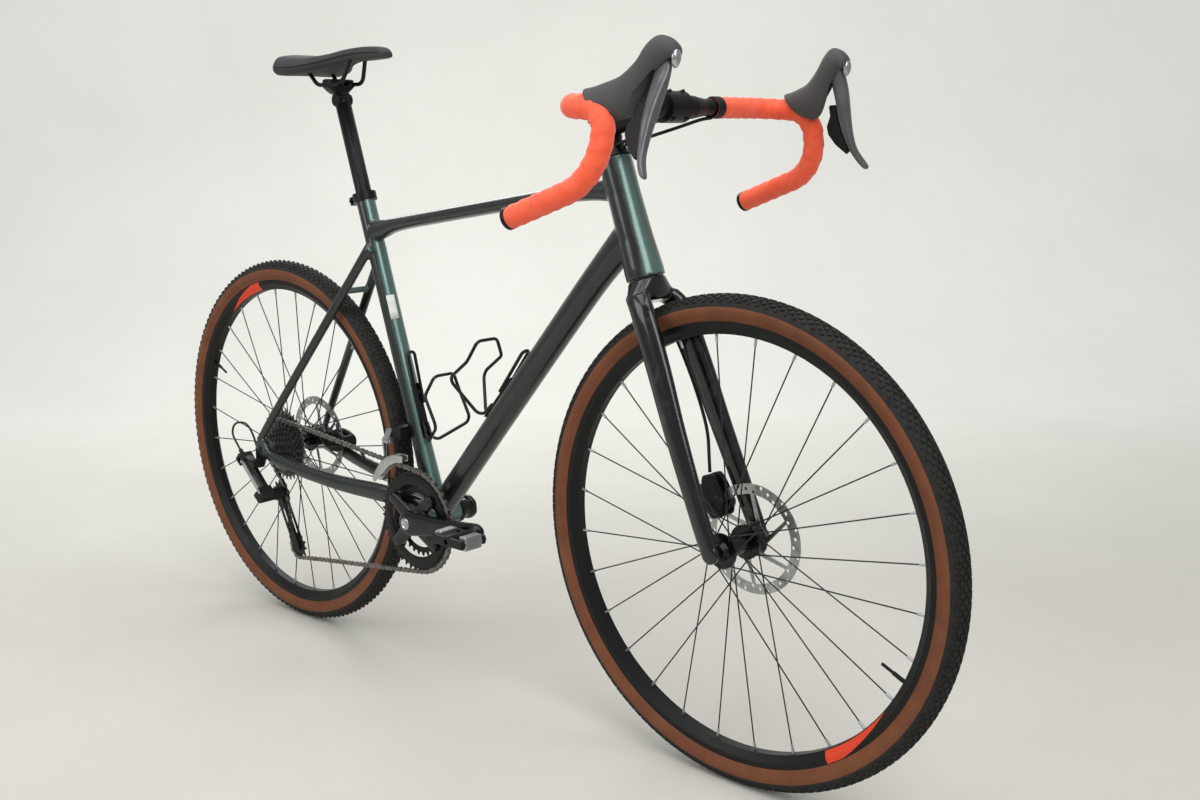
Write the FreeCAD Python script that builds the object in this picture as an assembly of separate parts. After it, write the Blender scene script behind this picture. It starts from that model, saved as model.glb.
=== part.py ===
import FreeCAD, Part
import math
import os

V = FreeCAD.Vector
AHEAD = V(1, 0, 0)
LEFT = V(0, 1, 0)
UP = V(0, 0, 1)
ORIGIN = V(0, 0, 0)
SIDES = (1, -1)

# Whole bicycle: lengths in millimetres, ground at zero height, middle of the wheelbase at zero
wheelbase = 1064.0
tyre_radius = 351.0
bottom_bracket_drop = 71.0
chainstay_length = 430.0
seat_angle = 73.5
head_angle = 71.5
fork_offset = 35.0
fork_length = 393.0
head_tube_length = 177.0

# Clearances: radial on a shaft, between bodies, between pieces of one body, and past a cut
running_gap = 0.05
body_gap = 0.5
seat_gap = 0.05
overrun = 5.0

# Head tube and its bearings: outline as shares of its length and of its lower radius
head_tube_radius = 28.5
head_tube_outline_shares = ((0.0, 1.0), (0.08, 1.0), (0.32, 0.9), (0.7, 0.85), (0.9, 0.86), (1.0, 0.86))
head_bore_radius = 20.5
lower_bearing_radius = 25.5
lower_bearing_height = 8.0
upper_bearing_radius = 21.0
upper_bearing_height = 7.5
crown_gap = 1.0

# Seat tube with the bottom bracket shell
seat_tube_length = 572.0
seat_tube_radius = 16.5
seat_tube_foot_radius = 19.0
seat_tube_taper_share = 0.22
seat_tube_floor = 70.0
seatpost_radius = 13.6
shell_radius = 21.5
shell_width = 73.0
shell_bore_radius = 17.5

# Top tube by its straight upper edge, down tube by its middle line: ends, half heights, half widths
tube_wall = 2.0
top_tube_seat_along = 521.0
top_tube_head_drop = 25.0
top_tube_along_shares = (0.0, 0.06, 0.14, 0.35, 0.7, 0.9, 1.0)
top_tube_half_heights = (20.0, 16.0, 12.2, 11.5, 11.8, 14.5, 20.0)
top_tube_half_widths = (15.5, 16.0, 16.5, 17.0, 17.5, 18.0, 18.0)
down_tube_head_rise = 69.0
down_tube_foot_rise = 4.0
down_tube_along_shares = (0.0, 0.3, 0.75, 0.9, 1.0)
down_tube_falls = (0.0, -3.5, -6.5, -5.0, 0.0)
down_tube_half_heights = (21.0, 21.0, 21.0, 22.5, 27.0)
down_tube_half_widths = (23.0, 22.0, 21.5, 21.5, 23.0)

# Chainstays: shares of the way to the axle, of its rise, of the dropout's place, of the section
chainstay_half_height = 14.5
chainstay_half_width = 8.0
chainstay_shares = (
    (0.03, 0.20, 0.30, 1.0, 1.0),
    (0.22, 0.38, 0.46, 1.0, 0.92),
    (0.53, 0.45, 0.67, 0.86, 1.0),
    (0.86, 0.68, 0.90, 0.74, 0.88),
    (0.985, 0.92, 1.0, 0.70, 0.44),
)

# Rear dropouts, hanger and axle
dropout_half_gap = 71.0
dropout_thickness = 7.0
dropout_radius = 17.0
axle_radius = 6.0
axle_head_radius = 9.0
axle_head_length = 4.0
hanger_back = 8.0
hanger_drop = 29.0
hanger_end_radius = 10.0
hanger_bolt_radius = 4.0
eyelet_radius = 2.1
eyelet_depth = 5.0
eyelet_rise = 12.5
eyelet_angle = 110.0

# Seatstays
seatstay_top_along = 477.0
seatstay_top_side = 15.0
seatstay_top_half_height = 9.0
seatstay_half_height = 7.0
seatstay_half_width = 7.0
seatstay_foot_ahead = -9.0
seatstay_foot_rise = 12.0
bridge_share = 0.79
bridge_radius = 6.0

# Seat clamp, seatpost and saddle clamp
clamp_wall = 4.0
clamp_height = 14.0
clamp_bolt_radius = 3.0
clamp_ear_length = 9.0
clamp_ear_half_width = 11.0
seatpost_length = 355.0
seatpost_inserted = 189.0
seatpost_bore_radius = 11.4
post_head_radius = 11.0
post_head_half_width = 15.0
rail_clamp_half_length = 17.0
rail_clamp_half_width = 27.0
rail_clamp_plate = 6.0
rail_cradle_depth = 14.0
saddle_bolt_radius = 2.5
saddle_bolt_spread_share = 0.72

# Saddle: stations from tail to nose as shares of its length, half widths, crown rise and skirt
saddle_length = 268.0
saddle_tail_behind_post = 135.0
saddle_setback = 9.0
saddle_rise = 52.0
saddle_half_width = 71.0
saddle_depth = 34.0
saddle_shares = (
    (0.0, 0.56, -0.10, 0.42),
    (0.03, 0.74, 0.0, 0.72),
    (0.10, 0.94, 0.04, 0.86),
    (0.20, 1.0, 0.02, 0.88),
    (0.33, 0.86, -0.02, 0.78),
    (0.48, 0.50, 0.04, 0.66),
    (0.64, 0.31, 0.15, 0.64),
    (0.82, 0.27, 0.18, 0.66),
    (0.95, 0.225, 0.08, 0.54),
    (1.0, 0.15, -0.16, 0.26),
)
saddle_crown_share = 0.3
saddle_waist_share = 0.9
saddle_shoulder_share = 0.45
rail_radius = 3.5
rail_spread = 22.0
rail_rise = 26.4
rail_bend = 22.0
rail_route_shares = ((0.22, 1.2, 1.0), (0.36, 1.0, 0.0), (0.62, 1.0, 0.0), (0.70, 0.65, 1.0))
rail_lift = 42.0

# Fork: leg stations as shares of length, offset, tip place and section; crown and steerer
fork_tip_side = 57.0
fork_leg_half_depth = 19.0
fork_leg_half_width = 13.0
fork_leg_shares = (
    (0.945, 0.06, 0.56, 1.0, 1.05),
    (0.865, 0.37, 0.71, 1.08, 0.95),
    (0.66, 0.54, 0.80, 1.07, 0.88),
    (0.45, 0.64, 0.88, 0.98, 0.80),
    (0.23, 0.80, 0.95, 0.88, 0.74),
    (0.05, 0.94, 1.0, 0.81, 0.62),
    (-0.02, 1.02, 1.0, 0.68, 0.54),
)
crown_race_radius = 27.0
crown_depth = 33.0
crown_shares = ((0.0, 1.0, 1.0), (0.36, 0.92, 1.35), (0.72, 0.80, 1.72), (1.0, 0.66, 1.80))
fork_half_gap = 50.0
fork_tip_radius = 13.0
fork_tip_thickness = 13.5
fork_eyelet_along = 62.0
fork_eyelet_depth = 9.0
fork_eyelet_ahead_share = 0.74
steerer_radius = 14.3
steerer_base_radius = 19.0
steerer_base_length = 22.0
steerer_taper_length = 70.0
steerer_bore_radius = 11.5

# Headset cover, stem and its bolts
cover_radius = 24.4
cover_height = 18.0
cover_top_radius = 17.5
spacer_height = 8.0
stem_clamp_radius = 18.6
stem_clamp_height = 40.0
stem_reach = 122.0
stem_drop = 16.0
stem_half_height = 15.0
stem_half_width = 17.0
bar_clamp_radius = 21.5
bar_clamp_half_width = 21.0
stem_bolt_radius = 2.5
stem_bolt_spread = 14.0
face_bolt_offset = 18.6
stem_bolt_length = 14.0
top_cap_height = 4.0

# Handlebar: widths, clamp and grip radii, bends; drop outline as reach and drop places
bar_half_width = 215.0
bar_clamp_bar_radius = 15.9
bar_sleeve_half_length = 42.0
bar_taper_length = 26.0
bar_radius = 11.9
bar_wall = 2.2
bar_flare = 14.0
bar_reach = 80.0
bar_drop = 141.0
bar_ramp_drop = 8.0
bar_hook_drop = 94.0
bar_hook_set_back = 4.0
bar_end_set_back = 59.0
bar_corner_bend = 36.0
bar_front_bend = 34.0
bar_hook_bend = 70.0
tape_thickness = 3.2
tape_start_side = 86.0
plug_length = 6.0
plug_depth = 14.0

# Lever hoods: stations as shares of length, rise, inset and section
hood_length = 132.0
hood_start_ahead = 30.0
hood_half_width = 17.5
hood_rise = 57.0
hood_inset = 33.0
hood_half_height = 30.0
hood_shares = (
    (0.0, 0.0, 0.0, 0.98, 0.55),
    (0.18, 0.02, 0.10, 1.0, 0.58),
    (0.353, 0.03, 0.28, 1.0, 0.74),
    (0.50, 0.14, 0.50, 0.98, 0.80),
    (0.62, 0.38, 0.70, 0.96, 0.93),
    (0.705, 0.66, 0.80, 0.95, 1.0),
    (0.80, 0.90, 0.91, 0.93, 0.78),
    (0.90, 1.0, 0.97, 0.84, 0.50),
    (0.975, 0.98, 1.0, 0.62, 0.30),
    (1.0, 0.96, 1.0, 0.44, 0.18),
)

# Brake levers and shift paddles: places ahead of and below the lever's pin
lever_pin_ahead = 141.0
lever_pin_rise = 42.0
lever_pin_side = 185.0
lever_slant = 22.0
lever_pin_radius = 2.5
lever_half_width = 6.0
lever_edge = 4.0
lever_length = 143.0
lever_bulge = 14.0
lever_outline_shares = (
    (-0.06, 0.30), (0.0, 0.86), (0.08, 1.0), (0.24, 0.94), (0.48, 0.78), (0.66, 0.70),
    (0.81, 0.70), (0.95, 0.82), (1.0, 0.72), (1.0, 0.26), (0.94, 0.08), (0.81, -0.12),
    (0.66, -0.42), (0.48, -0.62), (0.24, -0.54), (0.10, -0.64), (0.0, -0.70), (-0.06, -0.42),
)
hood_slot_back = 11.5
hood_slot_top = 10.5
hood_slot_slant = 20.0
paddle_half_width = 3.5
paddle_pin_drop = 50.0
paddle_pin_back = 9.0
paddle_pin_radius = 2.0
paddle_pin_root = 5.0
paddle_eye_radius = 4.2
paddle_eye_length = 11.0
paddle_length = 68.0
paddle_depth = 22.0
paddle_outline_shares = (
    (-0.03, -0.10), (0.20, -0.06), (0.50, 0.02), (0.78, 0.16), (0.96, 0.26), (1.0, 0.10),
    (0.78, -0.60), (0.55, -0.98), (0.38, -0.96), (0.16, -0.56), (-0.03, -0.48),
)

# Wheels: rim and tyre sections about the axle
rim_outer_radius = 317.0
rim_bed_radius = 309.0
rim_inner_radius = 296.0
rim_half_width = 14.5
rim_flange = 2.4
rim_nose_half_width = 7.0
rim_wall = 1.8
tyre_half_width = 20.0
tyre_thickness = 3.2
tyre_tread_thickness = 4.5
tyre_bead_gap = 0.1
valve_radius = 3.0
valve_length = 38.0
valve_cap_radius = 2.2
front_valve_angle = -25.7
rear_valve_angle = 154.3

# Spokes and nipples
spoke_count = 28
spoke_radius = 1.0
spoke_cross_pitches = 1.9
spoke_flange_gap = 0.1
nipple_radius = 2.0
nipple_length = 13.0
nipple_sink = 1.0
spoke_hole_share = 0.5
spoke_side_share = 0.25

# Hubs
flange_radius = 25.0
flange_hole_radius = 22.0
flange_half_thickness = 1.5
hub_body_radius = 14.0
hub_cap_radius = 10.0
hub_cap_length = 9.0
front_left_flange = 21.0
front_right_flange = 33.0
rear_left_flange = 33.0
rear_right_flange = 17.5
rotor_boss_radius = 17.0
rear_hub_shell_end = 20.6

# Brake rotors, calipers and pads
rotor_radius = 80.0
rotor_band = 15.0
rotor_half_thickness = 0.9
rotor_hub_radius = 25.0
rotor_arm_count = 6
rotor_arm_width = 7.0
rotor_arm_sweep = 32.0
rotor_hole_count = 36
rotor_hole_radius = 2.6
rotor_hole_rows = 3
rotor_hole_spread_share = 0.28
rotor_arm_tip_share = 0.33
rotor_lock_radius = 20.5
rotor_lock_length = 4.0
front_rotor_side = 39.5
rear_rotor_side = 55.0
caliper_slot_half = 1.7
caliper_slot_clear = 1.5
caliper_half_width = 17.0
caliper_edge = 3.0
rear_caliper_start = 36.0
rear_caliper_length = 66.0
rear_caliper_below = 20.0
rear_caliper_above = 24.0
front_caliper_half_width = 15.5
front_caliper_back = 62.0
front_caliper_depth = 38.0
front_caliper_low = 38.0
front_caliper_high = 104.0
caliper_bolt_radius = 3.0
caliper_bolt_head_radius = 5.0
caliper_bolt_head = 4.0
caliper_bolt_shares = (0.16, 0.86)
pad_half_length = 9.0
pad_half_height = 8.0
pad_thickness = 2.3
pad_rest_gap = 0.65
pad_clear = 0.3
rear_pad_ahead = 64.0
rear_pad_rise = 10.0
front_pad_back = 36.0
front_pad_along = 58.0

# Chain and sprockets
chain_pitch = 12.7
roller_radius = 3.85
chain_inner_half = 1.2
chain_inner_plate = 0.8
chain_outer_plate = 0.75
chain_side_gap = 0.15
chain_pin_radius = 1.8
chain_pin_gap = 0.15
chain_plate_radius = 4.1
chain_waist = 2.9
chain_plate_angle = 62.0
chain_links = 112
cage_search_angles = (-35.0, 35.0)
cage_search_steps = 60
tooth_root_gap = 0.3
tooth_root_half = 3.3
tooth_tip_half = 0.7
tooth_tip_rise = 2.3
tooth_middle_share = 0.5
cassette_teeth = (11, 13, 15, 17, 19, 21, 23, 25, 27, 30, 34)
cassette_gear = 7
cassette_pitch = 3.74
cassette_outer_side = 61.5
sprocket_half_thickness = 0.8
freehub_radius = 17.0
spacer_radius = 18.2
lockring_radius = 18.0
lockring_length = 4.5
freehub_inner_side = 21.2

# Cranks, chainrings and bottom bracket cups
chainring_teeth = (44, 30)
chainring_sides = (49.5, 42.0)
chainring_half_thickness = 1.1
chainring_rim_depth = 13.0
ring_bolt_circle = 55.0
ring_lug_radius = 9.0
ring_bolt_radius = 4.5
ring_bolt_length = 2.4
spider_angles = (38.0, 142.0, 218.0, 322.0)
spider_half_width = 8.0
crank_length = 172.5
crank_angle = 5.0
crank_inner_side = 59.0
crank_thickness = 15.0
crank_boss_radius = 19.0
crank_tip_radius = 14.0
crank_edge = 3.0
spindle_radius = 12.0
cup_radius = 22.0
cup_flange = 6.0
cup_depth = 18.0
crank_cap_radius = 9.0
crank_cap_length = 2.0

# Pedals
pedal_axle_radius = 4.5
pedal_axle_length = 54.0
pedal_collar_radius = 8.0
pedal_collar_length = 4.0
pedal_barrel_radius = 9.5
pedal_half_width = 26.0
pedal_half_length = 37.0
pedal_arm_half_height = 7.0
pedal_arm_width = 8.0
pedal_bar_radius = 6.0
pedal_jaw_depth = 16.0
pedal_jaw_half_height = 11.0
pedal_jaw_half_width = 17.0
pedal_edge = 2.0

# Rear derailleur: places from the rear axle, links, knuckles, cage and pulleys
rd_back_pin_ahead = -36.0
rd_back_pin_rise = -26.0
rd_front_pin_ahead = 18.0
rd_front_pin_rise = -78.0
rd_link_side = 88.0
rd_link_spread = 7.0
rd_link_half_thickness = 3.6
rd_link_half_height = 5.0
rd_eye_radius = 5.0
rd_pin_radius = 2.0
rd_plate = 3.0
rd_plate_margin = 6.5
rd_web = 6.0
rd_web_gap = 2.0
rd_knuckle_radius = 9.0
rd_knuckle_length = 17.0
rd_barrel_radius = 11.5
rd_barrel_outer_side = 92.0
rd_cage_offset_along = 1.0
rd_cage_offset_across = 19.0
rd_cage_half_gap = 4.7
rd_cage_plate = 1.8
rd_cage_pivot_radius = 9.0
rd_cage_pin_radius = 4.0
rd_cage_pin_length = 26.0
rd_guide_ahead = -13.0
rd_guide_rise = -5.6
rd_tension_ahead = 43.5
rd_tension_rise = -99.6
rd_cage_end_radius = 9.0
rd_cage_slot_half = 3.2
rd_cage_slot_shares = (0.32, 0.74)
rd_adjuster_radius = 4.0
rd_adjuster_length = 12.0
pulley_teeth = 11
pulley_half_thickness = 1.15
pulley_bolt_radius = 2.5
pulley_hub_radius = 6.0
pulley_hub_half = 3.6

# Front derailleur: places from the bottom bracket
fd_pivot_side = 34.0
fd_pivot_rise = 144.0
fd_pivot_back = 84.0
fd_link_length_ahead = 15.0
fd_cage_pin_side = 43.0
fd_cage_pin_rise = 128.0
fd_pin_radius = 2.5
fd_eye_radius = 5.5
fd_block_length = 24.0
fd_block_half_height = 10.0
fd_block_inner_side = 12.0
fd_block_outer_side = 40.0
fd_cage_half_gap = 5.2
fd_cage_plate = 1.5
fd_lug_thickness = 3.5
fd_lug_half_height = 6.0
fd_lug_rise = 92.0
fd_bridge = 3.0
fd_outline = (
    (-22.0, 97.0), (-22.0, 116.0), (-34.0, 126.0), (-66.0, 126.0), (-100.0, 88.0), (-112.0, 60.0),
    (-104.0, 53.0), (-92.0, 54.0), (-70.0, 76.0), (-46.0, 92.0),
)

# Bottle cages: wire, mounting plate, bolts and hoops about the bottle
cage_wire_radius = 2.8
cage_plate_half_width = 8.0
cage_plate_thickness = 2.5
cage_plate_length = 96.0
cage_bolt_spacing = 64.0
cage_bolt_radius = 2.5
cage_bolt_head_radius = 4.2
cage_bolt_head = 3.0
cage_wire_lift = 4.4
cage_height = 120.0
cage_reach = 83.0
cage_half_spread = 38.0
cage_bend = 14.0
cage_wire_shares = (
    (0.22, 0.0, 0.12), (-0.08, 0.03, 0.14), (0.10, 0.90, 1.0), (0.56, 0.76, 1.0), (0.80, 0.95, 0.55),
)
cage_tab_height = 150.0
cage_tab_half_width = 7.0
cage_tab_start = 60.0
cage_tab_lift = 6.0
seat_cage_along = 134.0
down_cage_along = 230.0
cage_tube_lift = 1.9
cage_run_share = 0.48

# Cables and hoses: routes are points chosen along each run, from the piece that holds it
hose_radius = 2.5
housing_radius = 2.0
cord_run_share = 0.45
shift_route = (
    (-16.0, -75.5, 0.0), (-30.0, -76.0, 43.4), (-75.5, -82.0, 43.4), (-84.6, -86.0, 20.8),
    (-65.6, -88.0, 2.5), (-54.3, -88.0, -8.4),
)
rear_hose_route = ((146.0, 55.0, -22.0), (130.0, 57.0, -10.0), (114.0, 58.5, -6.0), (102.0, 59.0, -5.0))
front_hose_route = (
    (-14.0, 38.0, 345.0), (-7.5, 44.0, 285.0), (-2.5, 47.5, 225.0), (-1.0, 48.0, 165.0),
    (-8.0, 44.0, 128.0), (-12.0, 41.0, 104.5),
)
bar_hose_route = (
    (0.0, 85.5, -14.6), (0.0, 70.0, -15.0), (-10.0, 40.0, -24.0), (-50.0, 15.0, -38.0), (-93.0, 9.5, -48.5),
)


def turn_vector(angle):
    """Unit vector in the bicycle's centre plane at an angle above straight ahead."""
    return V(math.cos(math.radians(angle)), 0, math.sin(math.radians(angle)))


# Main points and directions
rear_axle = V(-wheelbase / 2, 0, tyre_radius)
front_axle = V(wheelbase / 2, 0, tyre_radius)
bottom_bracket = rear_axle + V(
    math.sqrt(chainstay_length ** 2 - bottom_bracket_drop ** 2), 0, -bottom_bracket_drop)
seat_direction = turn_vector(180 - seat_angle)
seat_ahead = turn_vector(90 - seat_angle)
steer_direction = turn_vector(180 - head_angle)
steer_ahead = turn_vector(90 - head_angle)
steer_foot = front_axle - steer_ahead * fork_offset
dropout_side = dropout_half_gap + dropout_thickness / 2
spindle_end = crank_inner_side + crank_thickness / 2
front_hub_end = fork_half_gap - body_gap
rear_hub_end = dropout_half_gap - body_gap
head_bottom = fork_length + crown_gap
head_top = head_bottom + head_tube_length
stem_bottom = head_top + body_gap + cover_height + spacer_height
stem_centre = stem_bottom + stem_clamp_height / 2


def seat_point(along, ahead=0, side=0):
    """Point measured up the seat tube from the bottom bracket."""
    return bottom_bracket + seat_direction * along + seat_ahead * ahead + LEFT * side


def steer_point(along, ahead=0, side=0):
    """Point measured up the steering axis from the foot of the front axle's offset."""
    return steer_foot + steer_direction * along + steer_ahead * ahead + LEFT * side


bar_centre = steer_point(stem_centre - stem_drop, stem_reach)
saddle_tail = seat_point(seat_tube_length + seatpost_length - seatpost_inserted).x - saddle_tail_behind_post


def rod(start, end, radius):
    """Round bar between two points."""
    axis = end - start
    return Part.makeCylinder(radius, axis.Length, start, axis)


def placed(shape, centre, axis):
    """Shape moved so that its own upright axis lies along another axis."""
    shape.Placement = FreeCAD.Placement(centre, FreeCAD.Rotation(UP, axis))
    return shape


def turned(outline, centre, axis):
    """Solid turned about an axis from places along it and radii."""
    points = [V(radius, 0, along) for along, radius in outline]
    face = Part.Face(Part.makePolygon(points + points[:1]))
    return placed(face.revolve(ORIGIN, UP, 360), centre, axis)


def sleeve(start, end, radius, bore):
    """Round tube between two points."""
    return rod(start, end, radius).cut(rod(start, end, bore))


def oval(centre, tall, wide):
    """Closed oval section from a middle point and two half axes."""
    curve = Part.Circle(ORIGIN, UP, 1).toBSpline()
    for index, pole in enumerate(curve.getPoles(), 1):
        curve.setPole(index, centre + tall * pole.x + wide * pole.y)
    return Part.Wire(curve.toShape())


def loft(sections):
    """Smooth closed solid through a row of sections."""
    return Part.makeLoft(sections, True, False)


def box(low, high):
    """Upright block between two corners."""
    size = high - low
    return Part.makeBox(size.x, size.y, size.z, low)


def prism(points, depth):
    """Flat plate from a closed outline, pushed along a vector."""
    return Part.Face(Part.makePolygon(list(points) + [points[0]])).extrude(depth)


def hull_plate(first, first_radius, second, second_radius, depth):
    """Plate with two round ends and straight tangent sides, pushed along a vector."""
    axis = second - first
    along = V(axis).normalize()
    across = depth.cross(along).normalize()
    lean = math.acos((first_radius - second_radius) / axis.Length)
    near = along * math.cos(lean)
    off = across * math.sin(lean)
    corners = [first + (near + off) * first_radius, second + (near + off) * second_radius,
               second + (near - off) * second_radius, first + (near - off) * first_radius]
    edges = [
        Part.LineSegment(corners[0], corners[1]).toShape(),
        Part.Arc(corners[1], second + along * second_radius, corners[2]).toShape(),
        Part.LineSegment(corners[2], corners[3]).toShape(),
        Part.Arc(corners[3], first - along * first_radius, corners[0]).toShape(),
    ]
    return Part.Face(Part.Wire(edges)).extrude(depth)


def bent_path(points, bends):
    """Wire of straight runs joined by tangent arcs, one bend radius for each inner point."""
    edges = []
    start = points[0]
    for before, corner, after, radius in zip(points, points[1:], points[2:], bends):
        back = (before - corner).normalize()
        on = (after - corner).normalize()
        half = back.getAngle(on) / 2
        reach = radius / math.tan(half)
        middle = corner + (back + on).normalize() * (radius / math.sin(half) - radius)
        edges.append(Part.LineSegment(start, corner + back * reach).toShape())
        edges.append(Part.Arc(corner + back * reach, middle, corner + on * reach).toShape())
        start = corner + on * reach
    edges.append(Part.LineSegment(start, points[-1]).toShape())
    return Part.Wire(edges)


def bent_rod(points, bends, radius):
    """Round wire bent along a path."""
    path = bent_path(points, bends)
    section = Part.Wire(Part.Circle(points[0], points[1] - points[0], radius).toShape())
    return Part.Solid(path.makePipeShell([section], True, False))


def bent_tube(points, bends, radius, bore):
    """Round tube bent along a path, open at both ends."""
    return bent_rod(points, bends, radius).cut(bent_rod(points, bends, bore))


def cord(name, points, radius):
    """Cord whose bends are as large as its runs allow; its sizes are printed."""
    bends = []
    for before, corner, after in zip(points, points[1:], points[2:]):
        back = before - corner
        on = after - corner
        half = back.getAngle(on) / 2
        bends.append(cord_run_share * min(back.Length, on.Length) * math.tan(half))
    solid = bent_rod(points, bends, radius)
    length = bent_path(points, bends).Length
    share = solid.Volume / (math.pi * radius ** 2 * length)
    radii = [round(bend, 1) for bend in bends]
    print(name, "length", round(length, 1), "volume share", round(share, 4), "bends", radii)
    return solid


def group(solids):
    """Several separate solids in one piece."""
    return Part.makeCompound(solids)


# Frame tubes, each first without its bore so that its neighbours can be cut to it
def head_tube_filled():
    outline = [(0, 0)]
    for along, radius in head_tube_outline_shares:
        outline.append((along * head_tube_length, radius * head_tube_radius))
    outline.append((head_tube_length, 0))
    return turned(outline, steer_point(head_bottom), steer_direction)


def head_tube():
    upper_seat = head_top - upper_bearing_height
    bores = rod(steer_point(head_bottom - overrun), steer_point(head_top + overrun), head_bore_radius)
    lower = rod(steer_point(head_bottom - overrun), steer_point(head_bottom + lower_bearing_height),
                lower_bearing_radius)
    upper = rod(steer_point(upper_seat), steer_point(head_top + overrun), upper_bearing_radius)
    return head_tube_filled().cut(bores).cut(lower).cut(upper)


def headset_bearings():
    lower = sleeve(steer_point(head_bottom), steer_point(head_bottom + lower_bearing_height),
                   lower_bearing_radius - seat_gap, steerer_base_radius + running_gap)
    upper = sleeve(steer_point(head_top - upper_bearing_height), steer_point(head_top),
                   upper_bearing_radius - seat_gap, steerer_radius + running_gap)
    return group([lower, upper])


def shell_filled():
    half = LEFT * (shell_width / 2)
    return rod(bottom_bracket - half, bottom_bracket + half, shell_radius)


def seat_tube_filled():
    sections = []
    taper = seat_tube_taper_share * seat_tube_length
    for along, radius in ((0, seat_tube_foot_radius), (taper, seat_tube_radius),
                          (seat_tube_length, seat_tube_radius)):
        sections.append(oval(seat_point(along), seat_ahead * radius, LEFT * radius))
    return Part.makeLoft(sections, True, True).fuse(shell_filled())


def seat_tube():
    bore = rod(seat_point(seat_tube_floor), seat_point(seat_tube_length + overrun),
               seatpost_radius + running_gap)
    reach = LEFT * (shell_width / 2 + overrun)
    shell_bore = rod(bottom_bracket - reach, bottom_bracket + reach, shell_bore_radius)
    return seat_tube_filled().cut(bore).cut(shell_bore)


def tube_between(start, end, along_shares, sections_below, half_heights, half_widths, wall):
    """Oval tube in the centre plane: a line, the fall of its middle below it, and a wall taken off."""
    across = (end - start).cross(LEFT).normalize()
    sections = []
    for share, below, tall, wide in zip(along_shares, sections_below, half_heights, half_widths):
        centre = start + (end - start) * share - across * below
        sections.append(oval(centre, across * (tall - wall), LEFT * (wide - wall)))
    return loft(sections)


def top_tube_body(wall):
    return tube_between(seat_point(top_tube_seat_along), steer_point(head_top - top_tube_head_drop),
                        top_tube_along_shares, top_tube_half_heights, top_tube_half_heights,
                        top_tube_half_widths, wall)


def top_tube():
    body = top_tube_body(0).cut(top_tube_body(tube_wall))
    return body.cut(seat_tube_filled()).cut(head_tube_filled())


def down_tube_ends():
    return bottom_bracket + UP * down_tube_foot_rise, steer_point(head_bottom + down_tube_head_rise)


def down_tube_body(wall):
    start, end = down_tube_ends()
    return tube_between(start, end, down_tube_along_shares, down_tube_falls, down_tube_half_heights,
                        down_tube_half_widths, wall)


def down_tube():
    body = down_tube_body(0).cut(down_tube_body(tube_wall))
    return body.cut(seat_tube_filled()).cut(head_tube_filled()).cut(top_tube_body(0))


def dropout(side):
    inner = rear_axle + LEFT * (side * dropout_half_gap)
    outer = rear_axle + LEFT * (side * (dropout_half_gap + dropout_thickness))
    return rod(inner, outer, dropout_radius)


def eyelet(side):
    """Threaded hole in the outer face of a rear dropout, above and behind the axle."""
    centre = rear_axle + turn_vector(eyelet_angle) * eyelet_rise
    mouth = centre + LEFT * (side * (dropout_half_gap + dropout_thickness))
    return rod(mouth - LEFT * (side * eyelet_depth), mouth + LEFT * (side * overrun), eyelet_radius)


def chainstay(side):
    run = rear_axle - bottom_bracket
    sections = []
    for along, rise, spread, tall, wide in chainstay_shares:
        centre = bottom_bracket + V(run.x * along, side * spread * dropout_side, run.z * rise)
        sections.append(oval(centre, UP * (tall * chainstay_half_height),
                             LEFT * (wide * chainstay_half_width)))
    stay = loft(sections).fuse(dropout(side)).removeSplitter()
    reach = LEFT * (side * (dropout_half_gap + dropout_thickness + overrun))
    inside = LEFT * (side * dropout_half_gap)
    hub_room = rod(rear_axle, rear_axle + inside, dropout_radius + overrun)
    axle_hole = rod(rear_axle, rear_axle + reach, axle_radius + running_gap)
    return stay.cut(seat_tube_filled()).cut(hub_room).cut(axle_hole).cut(eyelet(side))


def chainstays():
    return group([chainstay(side) for side in SIDES])


def seatstay_ends(side):
    top = seat_point(seatstay_top_along, 0, side * seatstay_top_side)
    foot = rear_axle + V(seatstay_foot_ahead, side * dropout_side, seatstay_foot_rise)
    return top, foot


def seatstays():
    body = None
    for side in SIDES:
        top, foot = seatstay_ends(side)
        across = (top - foot).cross(LEFT).normalize()
        half_widths = (seatstay_half_width, seatstay_half_width, dropout_thickness / 2)
        half_heights = (seatstay_top_half_height, seatstay_half_height, seatstay_half_height)
        sections = []
        for share, tall, wide in zip((0, bridge_share, 1), half_heights, half_widths):
            sections.append(oval(top + (foot - top) * share, across * tall, LEFT * wide))
        stay = loft(sections)
        body = stay if body is None else body.fuse(stay)
    ends = [foot + (top - foot) * bridge_share for top, foot in map(seatstay_ends, SIDES)]
    body = body.fuse(rod(ends[0], ends[1], bridge_radius))
    reach = LEFT * (dropout_half_gap + dropout_thickness + overrun)
    axle_hole = rod(rear_axle - reach, rear_axle + reach, dropout_radius)
    body = body.cut(seat_tube_filled()).cut(axle_hole).cut(top_tube_body(0))
    for side in SIDES:
        body = body.cut(chainstay(side))
    return body


hanger_bolt = rear_axle + V(-hanger_back, 0, -hanger_drop)


def derailleur_hanger():
    outer = dropout_half_gap + dropout_thickness
    depth = LEFT * dropout_thickness
    plate = hull_plate(rear_axle - LEFT * outer, dropout_radius, hanger_bolt - LEFT * outer,
                       hanger_end_radius, depth)
    hole = rod(hanger_bolt - LEFT * (outer + overrun), hanger_bolt, hanger_bolt_radius + seat_gap)
    room = rod(rear_axle - LEFT * (outer + overrun), rear_axle, dropout_radius + seat_gap)
    return plate.cut(hole).cut(room).cut(chainstay(-1))


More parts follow.
